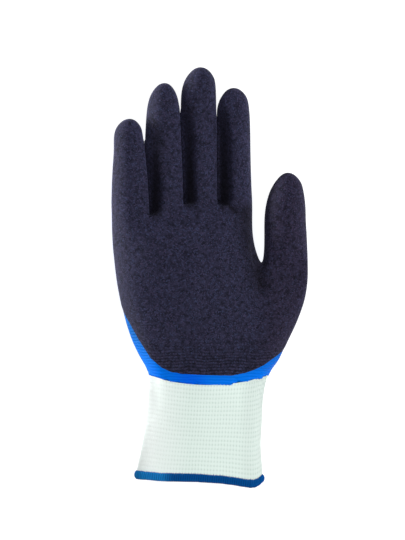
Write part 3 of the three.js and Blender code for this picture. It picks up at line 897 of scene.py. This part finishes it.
# %% Hand liner
hand_liner = skin_copy("hand_liner", 3)
points = positions(hand_liner) - normals_of(hand_liner) * KNIT_DEPTH
set_positions(hand_liner, rest_flat(points, KNIT_DEPTH - FLAT_DEPTH))
keep_faces(hand_liner, zone_faces(hand_liner, "hand", *DIGITS))
thicken(hand_liner, KNIT_WALL)
print(hand_liner.name, len(hand_liner.data.polygons), "faces")

# %% [markdown]
# ## The knitted cuff
# The cuff is a tube of plain knit, about 96 wales round and one stitch every 1.35 mm. Loops of real yarn
# would need millions of faces. A flat grid with six columns for each wale and three rows for each course is
# enough to raise every stitch, and it is then rolled onto the sleeve. The sleeve's surface is worked out from
# the same cage, because a tube of quads under Subdivision Surface is a cubic B-spline.

# %% Sleeve surface
# Samples of the sleeve along it, and round it for each column of the cage
SLEEVE_SAMPLES, ROUND_SAMPLES = 160, 64
SLEEVE_RINGS = 5

ring_count = SLEEVE_RINGS + 2
cage_rings = positions(form)[: ring_count * RING_SIZE].reshape(ring_count, RING_SIZE, 3)
cage_rings = np.concatenate([[2 * cage_rings[0] - cage_rings[1]], cage_rings])


def spline_weights(share):
    """Weights of four neighbours in a uniform cubic B-spline."""
    return np.array(
        [
            (1 - share) ** 3,
            3 * share**3 - 6 * share**2 + 4,
            -3 * share**3 + 3 * share**2 + 3 * share + 1,
            share**3,
        ]
    ) / 6


def sleeve_row(along, across):
    """Points of the sleeve at one place along it, in rings, for places across it, in columns."""
    ring = min(int(along), SLEEVE_RINGS - 1)
    lengthwise = np.tensordot(spline_weights(along - ring), cage_rings[ring : ring + 4], 1)
    column = np.floor(across).astype(int)
    weights = spline_weights(across - column)
    near = [lengthwise[(column + shift) % RING_SIZE] for shift in (-1, 0, 1, 2)]
    return sum(weight[:, None] * points for weight, points in zip(weights, near))


def even_sleeve_row(along, count):
    """The same, with its points evenly spaced round the sleeve. The last one closes the ring."""
    across = np.linspace(0, RING_SIZE, ROUND_SAMPLES * RING_SIZE + 1)
    steps = np.linalg.norm(np.diff(sleeve_row(along, across), axis=0), axis=1)
    length = np.concatenate([[0], np.cumsum(steps)])
    return sleeve_row(along, np.interp(np.linspace(0, length[-1], count + 1), length, across))


print("the sleeve is sampled from", ring_count + 1, "rings of its cage")

# %% Surface of the knit
WALES, COURSES = 96, 52
WALE_COLUMNS, COURSE_ROWS = 6, 3
# How far the hem's line is lifted, in millimetres, from the little finger's side to the thumb's side
HEM_LIFTS = [
    (-46.0, 0.9), (-38.0, 0.6), (-30.0, 0.2), (-22.6, 0.6), (-15.0, 1.2), (-7.7, 1.9), (-0.3, 2.2),
    (7.2, 2.5), (14.6, 2.0), (22.0, 0.9), (26.0, 0.4), (29.5, 0.6), (32.0, 1.5), (34.0, 2.8),
]
# The lift starts and is full at these distances from the origin towards the cuff
HEM_LIFT_FROM, HEM_LIFT_FULL = 104.0, 121.0


def lift_hem(points):
    """Waves the knit's edge, and lifts it where it turns round the thumb's side of the wrist."""
    x, y = points[..., 0] / MM, points[..., 1] / MM
    points[..., 1] += np.interp(x, *zip(*HEM_LIFTS)) * fade(-y, HEM_LIFT_FROM, HEM_LIFT_FULL) * MM
    return points


def knit_surface(columns, rows):
    """The sleeve as rows of points along the knit's courses, with its normals."""
    places = np.linspace(0, SLEEVE_RINGS, SLEEVE_SAMPLES)
    samples = lift_hem(np.array([even_sleeve_row(along, columns) for along in places]))
    share = np.linspace(0, 1, rows + 1)
    wanted_y = samples[0, :, 1] + share[:, None] * (samples[-1, :, 1] - samples[0, :, 1])
    surface = np.empty((rows + 1, columns + 1, 3))
    for column in range(columns + 1):
        line = samples[:, column]
        for axis in range(3):
            surface[:, column, axis] = np.interp(wanted_y[:, column], line[:, 1], line[:, axis])
    round_step = np.roll(surface[:, :-1], -1, 1) - np.roll(surface[:, :-1], 1, 1)
    round_step = np.concatenate([round_step, round_step[:, :1]], 1)
    normals = np.cross(np.gradient(surface, axis=0), round_step)
    normals /= np.linalg.norm(normals, axis=2)[..., None]
    return surface, normals


surface, surface_normals = knit_surface(WALES * WALE_COLUMNS, COURSES * COURSE_ROWS)
outward = np.sign((surface_normals[0, :, 2] * (surface[0, :, 2] - surface[0, :, 2].mean())).sum())
surface_normals *= outward
girth = np.linalg.norm(np.diff(surface[len(surface) // 2], axis=0), axis=1).sum()
print("the cuff is", round(girth / MM, 1), "mm round, so a wale is", round(girth / MM / WALES, 2), "mm wide")

# %% Stitches
# Heights in millimetres: the two legs of each stitch, the rows pulled in by the elastic thread in every
# second course, and slow waves of the whole cloth
STITCH_RELIEF = dict(leg=0.2, dimple=0.3, wave=0.12)
# The legs slant by this share of a course, and dip to this share of their height between two courses
LEG_SLANT, LEG_LOWEST = 0.42, 0.45
# The slow waves: radians for each wale and course, where they start, and how they lean
SLOW_WAVE = dict(wale=0.21, start=1.3, course=0.33, lean=0.06)
# Where the cuff rests, its stitches may reach this much lower than the liner
STITCH_SINK = 0.3 * MM


def half_wave(angle):
    """A cosine raised to between 0 and 1."""
    return 0.5 + 0.5 * np.cos(angle)


def stitch_height(wale, course):
    across = np.abs(2 * (wale % 1) - 1)
    leg = np.sin(math.pi * across) ** 2
    slanted = half_wave(math.tau * (course + LEG_SLANT * across))
    gap = np.cos(math.pi * wale) ** 2 * half_wave(math.pi * course) ** 3
    lengthwise = np.sin(course * SLOW_WAVE["course"] + SLOW_WAVE["lean"] * wale)
    slow = np.sin(wale * SLOW_WAVE["wale"] + SLOW_WAVE["start"]) * lengthwise
    relief = STITCH_RELIEF["leg"] * leg * (LEG_LOWEST + (1 - LEG_LOWEST) * slanted)
    return (relief - STITCH_RELIEF["dimple"] * gap + STITCH_RELIEF["wave"] * slow) * MM


def flat_knit(name, columns, rows):
    """A flat piece of knit as a grid, with a UV map that counts its width and length from 0 to 1."""
    bpy.ops.object.select_all(action="DESELECT")
    bpy.ops.mesh.primitive_grid_add(x_subdivisions=columns, y_subdivisions=rows, size=1, calc_uvs=True)
    piece = bpy.context.object
    piece.name = name
    return piece


knitted_cuff = flat_knit("knitted_cuff", WALES * WALE_COLUMNS, COURSES * COURSE_ROWS)
across, along = (positions(knitted_cuff)[:, :2] + 0.5).T
grid = (len(surface), len(surface[0]))
wale, course = (across * WALES).reshape(grid), (along * COURSES).reshape(grid)
rolled = surface - surface_normals * (KNIT_DEPTH - stitch_height(wale, course))[..., None]
rolled[:, -1] = rolled[:, 0]
set_positions(knitted_cuff, rest_flat(rolled.reshape(-1, 3), KNIT_DEPTH - FLAT_DEPTH - STITCH_SINK))
print("the cuff has", rolled.shape[0] * rolled.shape[1], "points")

# %% [markdown]
# The wall's inner side needs few rows. It is rolled from a second grid, and the two are joined and bridged
# at both ends, so that the cuff is one closed wall.

# %% Inner side of the cuff
INNER_ROWS, INNER_RIB = 8, 0.12 * MM
inner_side = flat_knit("cuff_inner_side", WALES * WALE_COLUMNS, INNER_ROWS)
inner, inner_normals = knit_surface(WALES * WALE_COLUMNS, INNER_ROWS)
ribs = INNER_RIB * np.cos(math.tau * np.linspace(0, WALES, WALES * WALE_COLUMNS + 1))
inner = inner - outward * inner_normals * (KNIT_DEPTH + KNIT_WALL + ribs)[None, :, None]
inner[:, -1] = inner[:, 0]
set_positions(inner_side, rest_flat(inner.reshape(-1, 3), KNIT_DEPTH - FLAT_DEPTH + KNIT_WALL))

join_walls(knitted_cuff, inner_side, [HEM_EDGE, WRIST_EDGE])

# %% [markdown]
# ## The overlocked hem
# An overlock machine wraps thick polyester thread round the knit's edge, hundreds of turns side by side. Each
# turn could be a curve, but all of them together are one ribbed roll, so a grid is rolled into a tube that
# follows the knit's edge, with a ridge for every turn of thread and a slant to each ridge.

# %% Hem
HEM = dict(thick=2.3, length=2.9, inward=0.5, turns=136, columns=12, sides=28)
# The hem gets narrower where it turns round the thumb's side of the wrist
HEM_TAPER = dict(x=(31.5, 34.5), share=0.45)
# Each turn of thread is a ridge, and some lie looser. Round the edge of the knit, it moves on by the slant
RIDGE = dict(height=0.4, sharpness=0.8, looseness=0.5, loose_waves=90)
THREAD_SLANT = 0.9
HEM_LINE_ROWS = 4
SAME_THREAD = 0.002 * MM

hem = flat_knit("overlocked_hem", HEM["turns"] * HEM["columns"], HEM["sides"])
turn_share, side_share = (positions(hem)[:, :2] + 0.5).T
count = HEM["turns"] * HEM["columns"]
edge_line, edge_normals = knit_surface(count, HEM_LINE_ROWS)
edge_line, edge_normals = edge_line[0], outward * edge_normals[0]
middle = edge_line - edge_normals * (KNIT_DEPTH + KNIT_WALL / 2 + HEM["inward"] * MM)
edge_out = edge_normals * (1, 0, 1)
edge_out /= np.linalg.norm(edge_out, axis=1)[:, None]

column = np.rint(turn_share * count).astype(int)
angle = math.tau * side_share
turn = HEM["turns"] * turn_share + THREAD_SLANT * side_share
loose = np.array([noise.noise(Vector((share * RIDGE["loose_waves"], 3, 0))) for share in turn_share])
rounded = np.abs(np.sin(math.pi * turn)) ** RIDGE["sharpness"]
ridge = RIDGE["height"] * (rounded - 1 + RIDGE["looseness"] * loose)
thick = (HEM["thick"] + ridge) * MM
taper = 1 - HEM_TAPER["share"] * fade(middle[column, 0] / MM, *HEM_TAPER["x"])
length = (HEM["length"] * taper + ridge) * MM
tube = middle[column] + edge_out[column] * (np.cos(angle) * thick)[:, None]
tube -= np.outer(np.sin(angle) * length, (0, 1, 0))
set_positions(hem, rest_flat(tube, 0))
activate(hem)
bpy.ops.object.mode_set(mode="EDIT")
bpy.ops.mesh.select_all(action="SELECT")
bpy.ops.mesh.remove_doubles(threshold=SAME_THREAD)
bpy.ops.mesh.normals_make_consistent(inside=False)
bpy.ops.object.mode_set(mode="OBJECT")
bpy.ops.object.shade_smooth()
print_triangles(hem)

# The hand form has done its work
bpy.data.objects.remove(form)

# %% [markdown]
# ## Finishes
# Each finish starts from what the material is, with colours as sRGB hex. One helper sets a node's inputs, and
# one adds a node and hands on its output. The lights of this scene don't give all of the photo's light and
# shade, so some of it is in the colours, by place on the glove. A comment says where.

# %% Material helpers


def colour(code):
    """Turns an sRGB hex colour to linear, with alpha."""
    parts = [int(code[i : i + 2], 16) / 255 for i in (1, 3, 5)]
    linear = [part / 12.92 if part <= 0.04045 else ((part + 0.055) / 1.055) ** 2.4 for part in parts]
    return (*linear, 1)


def new_material(name):
    material = bpy.data.materials.new(name)
    material.use_nodes = True
    return material, material.node_tree.nodes["Principled BSDF"]


def set_inputs(node, inputs):
    """Sets inputs by name or in order, each to a value or to another node's output."""
    for name, value in inputs.items() if isinstance(inputs, dict) else enumerate(inputs):
        if isinstance(value, bpy.types.NodeSocket):
            node.id_data.links.new(value, node.inputs[name])
        else:
            node.inputs[name].default_value = value


def add(material, kind, inputs=(), output=0, **settings):
    """Adds a node with its settings and inputs, and gives one of its outputs."""
    node = material.node_tree.nodes.new("ShaderNode" + kind)
    for name, value in settings.items():
        setattr(node, name, value)
    set_inputs(node, inputs)
    return node.outputs[output]


def finish_piece(piece, material, node):
    piece.data.materials.clear()
    piece.data.materials.append(material)
    piece.data.polygons.foreach_set("material_index", [0] * len(piece.data.polygons))
    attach(piece, "root")
    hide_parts(node)
    print(piece.name, "is", material.name, "from", len(material.node_tree.nodes), "nodes")


# A Mix node's places for two colours, and its settings for blending them and for tinting one by the other
FIRST, SECOND = 6, 7
BLEND = dict(data_type="RGBA", output=2)
TINT = dict(BLEND, blend_type="MULTIPLY")
print("helpers ready")

# %% [markdown]
# **Courses of the knit.** Where a coat is thin, the knit's courses show through it. They are 1.35 mm apart,
# and are drawn at 1.87 mm, so that they keep clear of the pixels. A texture of waves could draw them, but a
# sine of the place along the glove is easier to keep at a real size, and slow noise makes it wander.

# %% Courses that show through
COURSE = 1.87 * MM


def course_wave(material, place_on, wander, size):
    """Courses as a wave from -1 to 1 along the glove. They wander by up to this much, over this size."""
    slow = add(material, "TexNoise", {"Vector": place_on, "Scale": 1 / size, "Detail": 1.0})
    along = add(material, "SeparateXYZ", [place_on], "Y")
    wandering = add(material, "Math", [slow, wander, along], operation="MULTIPLY_ADD")
    turns = add(material, "Math", [wandering, math.tau / COURSE], operation="MULTIPLY")
    return add(material, "Math", [turns], operation="SINE")


print("courses every", round(COURSE / MM, 2), "mm")

# %% [markdown]
# **Sandy foam nitrile.** Salt is sprayed on the wet foam and washed out again, which leaves a matt surface of
# grains and pits of about 0.3 mm. That size is under the render's pixels, so the grains are drawn at 0.62 mm.
# Near the wrist the foam is thin and the courses show as darker lines. The matt foam hardly mirrors, and it
# scatters light evenly, which is a high diffuse roughness.

# %% Sandy foam nitrile
GRAIN, MOTTLE = 0.62 * MM, 2.4 * MM
COURSES_FROM, COURSES_FULL = -38.0 * MM, -50.0 * MM
# On the thumb the foam is painted a little darker and warmer: painted shade, with a warmer tint
THUMB_SHADE_FROM, THUMB_SHADE_FULL = 26.0 * MM, 40.0 * MM

foam, shader = new_material("sandy foam nitrile")
place_on = add(foam, "TexCoord", output="Object")
foam_x, foam_y = (add(foam, "SeparateXYZ", [place_on], axis) for axis in "XY")
grains = add(foam, "TexVoronoi", {"Vector": place_on, "Scale": 1 / GRAIN})
# Each grain has its own random colour, and two of its channels are used as random numbers
lightness, hue = (
    add(foam, "SeparateColor", [grains.node.outputs["Color"]], channel) for channel in ("Red", "Green")
)
mottle = add(foam, "TexNoise", {"Vector": place_on, "Scale": 1 / MOTTLE, "Detail": 2.0})
patches = add(foam, "MapRange", [mottle, 0.34, 0.66])
ground = add(foam, "Mix", {0: patches, FIRST: colour("#1a1a29"), SECOND: colour("#302f46")}, **BLEND)
violet = add(foam, "MapRange", [hue, 0.3, 0.7])
grain_tone = add(foam, "Mix", {0: violet, FIRST: colour("#3b4160"), SECOND: colour("#423c58")}, **BLEND)
light_grains = add(foam, "MapRange", [lightness, 0.55, 1.0])
speckled = add(foam, "Mix", {0: light_grains, FIRST: ground, SECOND: grain_tone}, **BLEND)
print(foam.name, "has a ground and grains")

# %% Painted shade in the crotches and on the thumb's side, and the courses
# Painted shade: the foam is darkened in the crotches, along one crease and up the fingers' left sides
shade_amount = add(foam, "Attribute", output="Fac", attribute_name="painted_shade")
dark = add(foam, "Mix", {0: shade_amount, FIRST: speckled, SECOND: colour("#8c867c")}, **TINT)
courses = course_wave(foam, place_on, wander=3.0 * MM, size=14 * MM)
course_line = add(foam, "MapRange", [courses, -0.2, 1.0])
near_wrist = add(foam, "MapRange", [foam_y, COURSES_FROM, COURSES_FULL])
line_share = add(foam, "Math", [course_line, near_wrist], operation="MULTIPLY")
lined = add(foam, "Mix", {0: line_share, FIRST: dark, SECOND: colour("#b0b0b0")}, **TINT)
# Painted shade: the thumb's side of the foam is darkened and warmed
thumb_shade_share = add(foam, "MapRange", [foam_x, THUMB_SHADE_FROM, THUMB_SHADE_FULL])
thumb_shaded = add(foam, "Mix", {0: thumb_shade_share, FIRST: lined, SECOND: colour("#f4e6e6")}, **TINT)
bump = add(foam, "Bump", {"Height": grains, "Strength": 0.35, "Distance": 0.4 * MM})
set_inputs(shader, {"Base Color": thumb_shaded, "Normal": bump, "Roughness": 0.85, "Diffuse Roughness": 1.0})
set_inputs(shader, {"IOR": 1.5, "Specular IOR Level": 0.1})
set_inputs(shader, {"Sheen Weight": 0.12, "Sheen Roughness": 0.5, "Sheen Tint": colour("#9090b4")})
print(foam.name, "is darker in the pools, in the courses and on the thumb")

# %% [markdown]
# **Satin nitrile film.** The first dip dries as a smooth, slightly shiny rubber skin. It is so thin that the
# courses of the knit under it show as fine ridges.

# %% Satin nitrile film
# Along the sides of the hand the film is painted duller than at the wrist, as painted shade, and it has one
# deeper spot at the wrist, in line with the ring finger. A Mapping node scales first, so the spot's place is
# in its own sizes
FILM_FULL_TO, FILM_SHADE_FROM = -66.0 * MM, -34.0 * MM
SPOT_PLACE, SPOT_SCALE = (0.84, 4.57, 0), (1 / (14 * MM), 1 / (14 * MM), 1 / (90 * MM))

film, shader = new_material("satin nitrile film")
place_on = add(film, "TexCoord", output="Object")
patches = add(film, "TexNoise", {"Vector": place_on, "Scale": 1 / (30 * MM), "Detail": 1.0})
blue = add(film, "Mix", {0: patches, FIRST: colour("#006cec"), SECOND: colour("#007af4")}, **BLEND)
from_spot = add(film, "Mapping", {"Vector": place_on, "Location": SPOT_PLACE, "Scale": SPOT_SCALE})
spot = add(film, "TexGradient", [from_spot], "Fac", gradient_type="SPHERICAL")
deep_blue = add(film, "Mix", {0: spot, FIRST: blue, SECOND: colour("#005cf6")}, **BLEND)
film_y = add(film, "SeparateXYZ", [place_on], "Y")
# Painted shade: the film is darkened towards the hand, along its sides
sides = add(film, "MapRange", [film_y, FILM_FULL_TO, FILM_SHADE_FROM])
painted_side_shade = add(film, "Mix", {0: sides, FIRST: deep_blue, SECOND: colour("#b6b6a2")}, **TINT)
courses = course_wave(film, place_on, wander=2.4 * MM, size=12 * MM)
bump = add(film, "Bump", {"Height": courses, "Strength": 0.6, "Distance": 0.2 * MM})
set_inputs(shader, {"Base Color": painted_side_shade, "Normal": bump})
set_inputs(shader, {"Roughness": 0.5, "IOR": 1.52, "Specular IOR Level": 0.03})
print(film.name, "has three blues")

# %% [markdown]
# ** Polyamide knit.** Bright white yarn with a faint green cast. Small gaps between the stitches are painted
# darker, as painted shade inside them, and they line up as dots, one for each wale and two courses. On the
# little finger's side the gaps fade out and the cuff is painted whiter, as painted light.

# %% Painted shade in the gaps between the stitches
# Towards the little finger's side the yarn is painted whiter and its gaps fade out: painted light
YARN_LIT_TO, YARN_LIT_GONE_FROM = -36.0 * MM, -12.0 * MM
GAP_FROM = -0.3
DOT_SHARE, LINE_SHARE = 0.25, 0.1

yarn, shader = new_material("white polyamide knit")
uv = add(yarn, "UVMap", uv_map="UVMap")
count_on = add(yarn, "Mapping", {"Vector": uv, "Scale": (WALES, COURSES / 2, 1)})


def gap_wave(axis):
    """A row of gaps painted darker as shade, one for each count along this axis."""
    counted = add(yarn, "SeparateXYZ", [count_on], axis)
    turns = add(yarn, "Math", [counted, math.tau], operation="MULTIPLY")
    wave = add(yarn, "Math", [turns], operation="COSINE")
    return add(yarn, "MapRange", [wave, GAP_FROM, 1.0])


# Painted shade: the gaps darken the yarn's colour as dots and faint lines
gaps = [gap_wave("X"), gap_wave("Y")]
dots = add(yarn, "Math", gaps, operation="MULTIPLY")
lines = add(yarn, "Math", gaps, operation="ADD")
faint = add(yarn, "Math", [lines, LINE_SHARE], operation="MULTIPLY")
shade = add(yarn, "Math", [dots, DOT_SHARE, faint], operation="MULTIPLY_ADD")
print("gaps every", round(girth / MM / WALES, 2), "mm")

# %% Polyamide knit
# On the thumb's side, and near the wrist on the other side, the knit is painted a little greyer: painted
# shade
GREYER_FROM, GREYER_TO = 18.0 * MM, 34.0 * MM
FAR_GREY_FROM, FAR_GREY_TO = -31.0 * MM, -35.5 * MM
WRIST_GREY_FROM, WRIST_GREY_TO = -88.0 * MM, -72.0 * MM

place_on = add(yarn, "TexCoord", output="Object")
yarn_x, yarn_y = (add(yarn, "SeparateXYZ", [place_on], axis) for axis in "XY")
# Painted light: the little finger's side of the yarn is whiter, with its gaps hidden
away_from_lit_side = add(yarn, "MapRange", [yarn_x, YARN_LIT_TO, YARN_LIT_GONE_FROM])
shown = add(yarn, "Math", [shade, away_from_lit_side], operation="MULTIPLY")
cast_and_painted_light = add(yarn, "Mix", {0: away_from_lit_side, FIRST: colour("#f6fdfa"), SECOND: colour("#e8f5ef")}, **BLEND)
white = add(yarn, "Mix", {0: shown, FIRST: cast_and_painted_light, SECOND: colour("#b0c6bc")}, **BLEND)
# Painted shade: the yarn is greyer on the thumb's side, and near the wrist on the other side
thumb_shade_share = add(yarn, "MapRange", [yarn_x, GREYER_FROM, GREYER_TO])
far_side = add(yarn, "MapRange", [yarn_x, FAR_GREY_FROM, FAR_GREY_TO])
near_wrist = add(yarn, "MapRange", [yarn_y, WRIST_GREY_FROM, WRIST_GREY_TO])
yarn_shade_share = add(yarn, "Math", [far_side, near_wrist, thumb_shade_share], operation="MULTIPLY_ADD")
greyer = add(yarn, "Mix", {0: yarn_shade_share, FIRST: white, SECOND: colour("#dedede")}, **TINT)
set_inputs(shader, {"Base Color": greyer, "Roughness": 0.8, "Diffuse Roughness": 0.3, "IOR": 1.53})
print(yarn.name, "has a cast, gaps and greyer sides")

# %% [markdown]
# ** Overlock thread.** Textured polyester thread, dyed blue, soft and without shine. Its colour is painted
# lighter on the little finger's side, as painted light, and darker between two turns and at both edges of the
# hem, as painted shade.

# %% Overlock thread
# The first blue is painted light on the little finger's side, the second is the thread's dye, and the third
# is painted shade
LIT_SIDE_BLUE, DEEP_DYE, PAINTED_SHADE_BLUE = colour("#1a84cc"), colour("#004e94"), colour("#042f62")
THREAD_LIT_TO, DEEP_FROM = -29.5 * MM, -23.0 * MM
SHADE_SHARE = 0.8

thread, shader = new_material("blue overlock thread")
uv = add(thread, "UVMap", uv_map="UVMap")
along_hem, round_hem = (add(thread, "SeparateXYZ", [uv], axis) for axis in "XY")


def bumps(count, turn):
    """A row of round bumps from 0 to 1: a sine without its sign."""
    turns = add(thread, "Math", [count, turn], operation="MULTIPLY")
    wave = add(thread, "Math", [turns], operation="SINE")
    return add(thread, "Math", [wave], operation="ABSOLUTE")


slanted = add(thread, "Math", [round_hem, THREAD_SLANT], operation="MULTIPLY")
turn_count = add(thread, "Math", [along_hem, HEM["turns"], slanted], operation="MULTIPLY_ADD")
# Painted shade: darker between two turns and at both edges of the hem
valley = add(thread, "MapRange", [bumps(turn_count, math.pi), 0.75, 0.0])
edge = add(thread, "MapRange", [bumps(round_hem, math.tau), 0.72, 1.0])
shades = [add(thread, "Math", [share, SHADE_SHARE], operation="MULTIPLY") for share in (valley, edge)]
darker = add(thread, "Math", shades, operation="MAXIMUM")
place_on = add(thread, "TexCoord", output="Object")
thread_x = add(thread, "SeparateXYZ", [place_on], "X")
# Painted light: the thread is lighter on the little finger's side
deeper = add(thread, "MapRange", [thread_x, THREAD_LIT_TO, DEEP_FROM])
dye_and_painted_light = add(thread, "Mix", {0: deeper, FIRST: LIT_SIDE_BLUE, SECOND: DEEP_DYE}, **BLEND)
shaded = add(thread, "Mix", {0: darker, FIRST: dye_and_painted_light, SECOND: PAINTED_SHADE_BLUE}, **BLEND)
set_inputs(shader, {"Base Color": shaded, "Roughness": 0.8})
set_inputs(shader, {"Diffuse Roughness": 0.6, "Specular IOR Level": 0.05})
print(thread.name, "has three blues")

# %% Each piece gets its finish
finish_piece(knitted_cuff, yarn, "knit_cuff")
finish_piece(hand_liner, yarn, "knit_liner")
finish_piece(blue_coat, film, "flat_coat")
finish_piece(grip_coat, foam, "grip_coat")
finish_piece(hem, thread, "cuff_hem")

# %% [markdown]
# ## Floor, light and camera
# The glove is photographed from straight above its palm. A long, thin strip light lies low and close on its
# left, so that its light grazes the fingers but not the palm. A tall softbox stands on the right, and a large
# one hangs above. Between the strip's light and the softbox's each finger keeps a dark core.

# %% Floor
# The photo's background is white, so the pale paper also glows
FLOOR_SIZE, FLOOR_GLOW = 6, 0.9
WHITE = (1, 1, 1, 1)
bpy.ops.object.select_all(action="DESELECT")
bpy.ops.mesh.primitive_plane_add(size=FLOOR_SIZE)
floor = bpy.context.object
floor.name = "floor"
paper, shader = new_material("white paper sweep")
set_inputs(shader, {"Base Color": colour("#a0a0a0"), "Roughness": 0.9})
set_inputs(shader, {"Emission Color": WHITE, "Emission Strength": FLOOR_GLOW})
floor.data.materials.append(paper)
print("the floor is", FLOOR_SIZE, "m wide")

# %% Lights
# Places and sizes are in metres. Each light is turned round the y axis until it faces the glove
SOFTBOXES = [
    dict(name="left strip", at=(-0.3, 0.229, 0.006), size=(0.01, 0.57), watts=0.72, spread=50),
    dict(name="right softbox", at=(0.68, 0.02, 0.88), size=(0.30, 1.0), watts=10.2, spread=180),
    dict(name="top softbox", at=(0.0, 0.0, 2.2), size=(1.0, 1.0), watts=14, spread=180),
]
for box in SOFTBOXES:
    lamp = bpy.data.lights.new(box["name"], "AREA")
    lamp.shape = "RECTANGLE"
    lamp.size, lamp.size_y = box["size"]
    lamp.energy = box["watts"]
    lamp.spread = math.radians(box["spread"])
    holder = bpy.data.objects.new(box["name"], lamp)
    bpy.context.collection.objects.link(holder)
    holder.location = box["at"]
    holder.rotation_euler = (0, math.atan2(holder.location.x, holder.location.z), 0)

ROOM_LIGHT = 0.08
world = bpy.data.worlds.new("studio")
world.use_nodes = True
set_inputs(world.node_tree.nodes["Background"], {"Color": WHITE, "Strength": ROOM_LIGHT})
bpy.context.scene.world = world
bpy.context.scene.view_settings.view_transform = "Standard"
print(len(SOFTBOXES), "lights and a faint room light")

# %% Camera
# The picture is 405 by 540 pixels, and a pixel is 0.62 mm at the height of the fingers' middle
PICTURE_HEIGHT, PIXEL = 540, 0.62 * MM
FINGER_HEIGHT = 12 * MM
CAMERA_DISTANCE, SENSOR_WIDTH = 1.8, 36
CAMERA_AIM = (-4.33 * MM, 4.65 * MM)
camera = bpy.data.cameras.new("camera")
camera.sensor_width = SENSOR_WIDTH
camera.lens = camera.sensor_width * CAMERA_DISTANCE / (PICTURE_HEIGHT * PIXEL)
viewer = bpy.data.objects.new("camera", camera)
bpy.context.collection.objects.link(viewer)
viewer.location = (*CAMERA_AIM, FINGER_HEIGHT + CAMERA_DISTANCE)
bpy.context.scene.camera = viewer
print("lens", round(camera.lens), "mm")
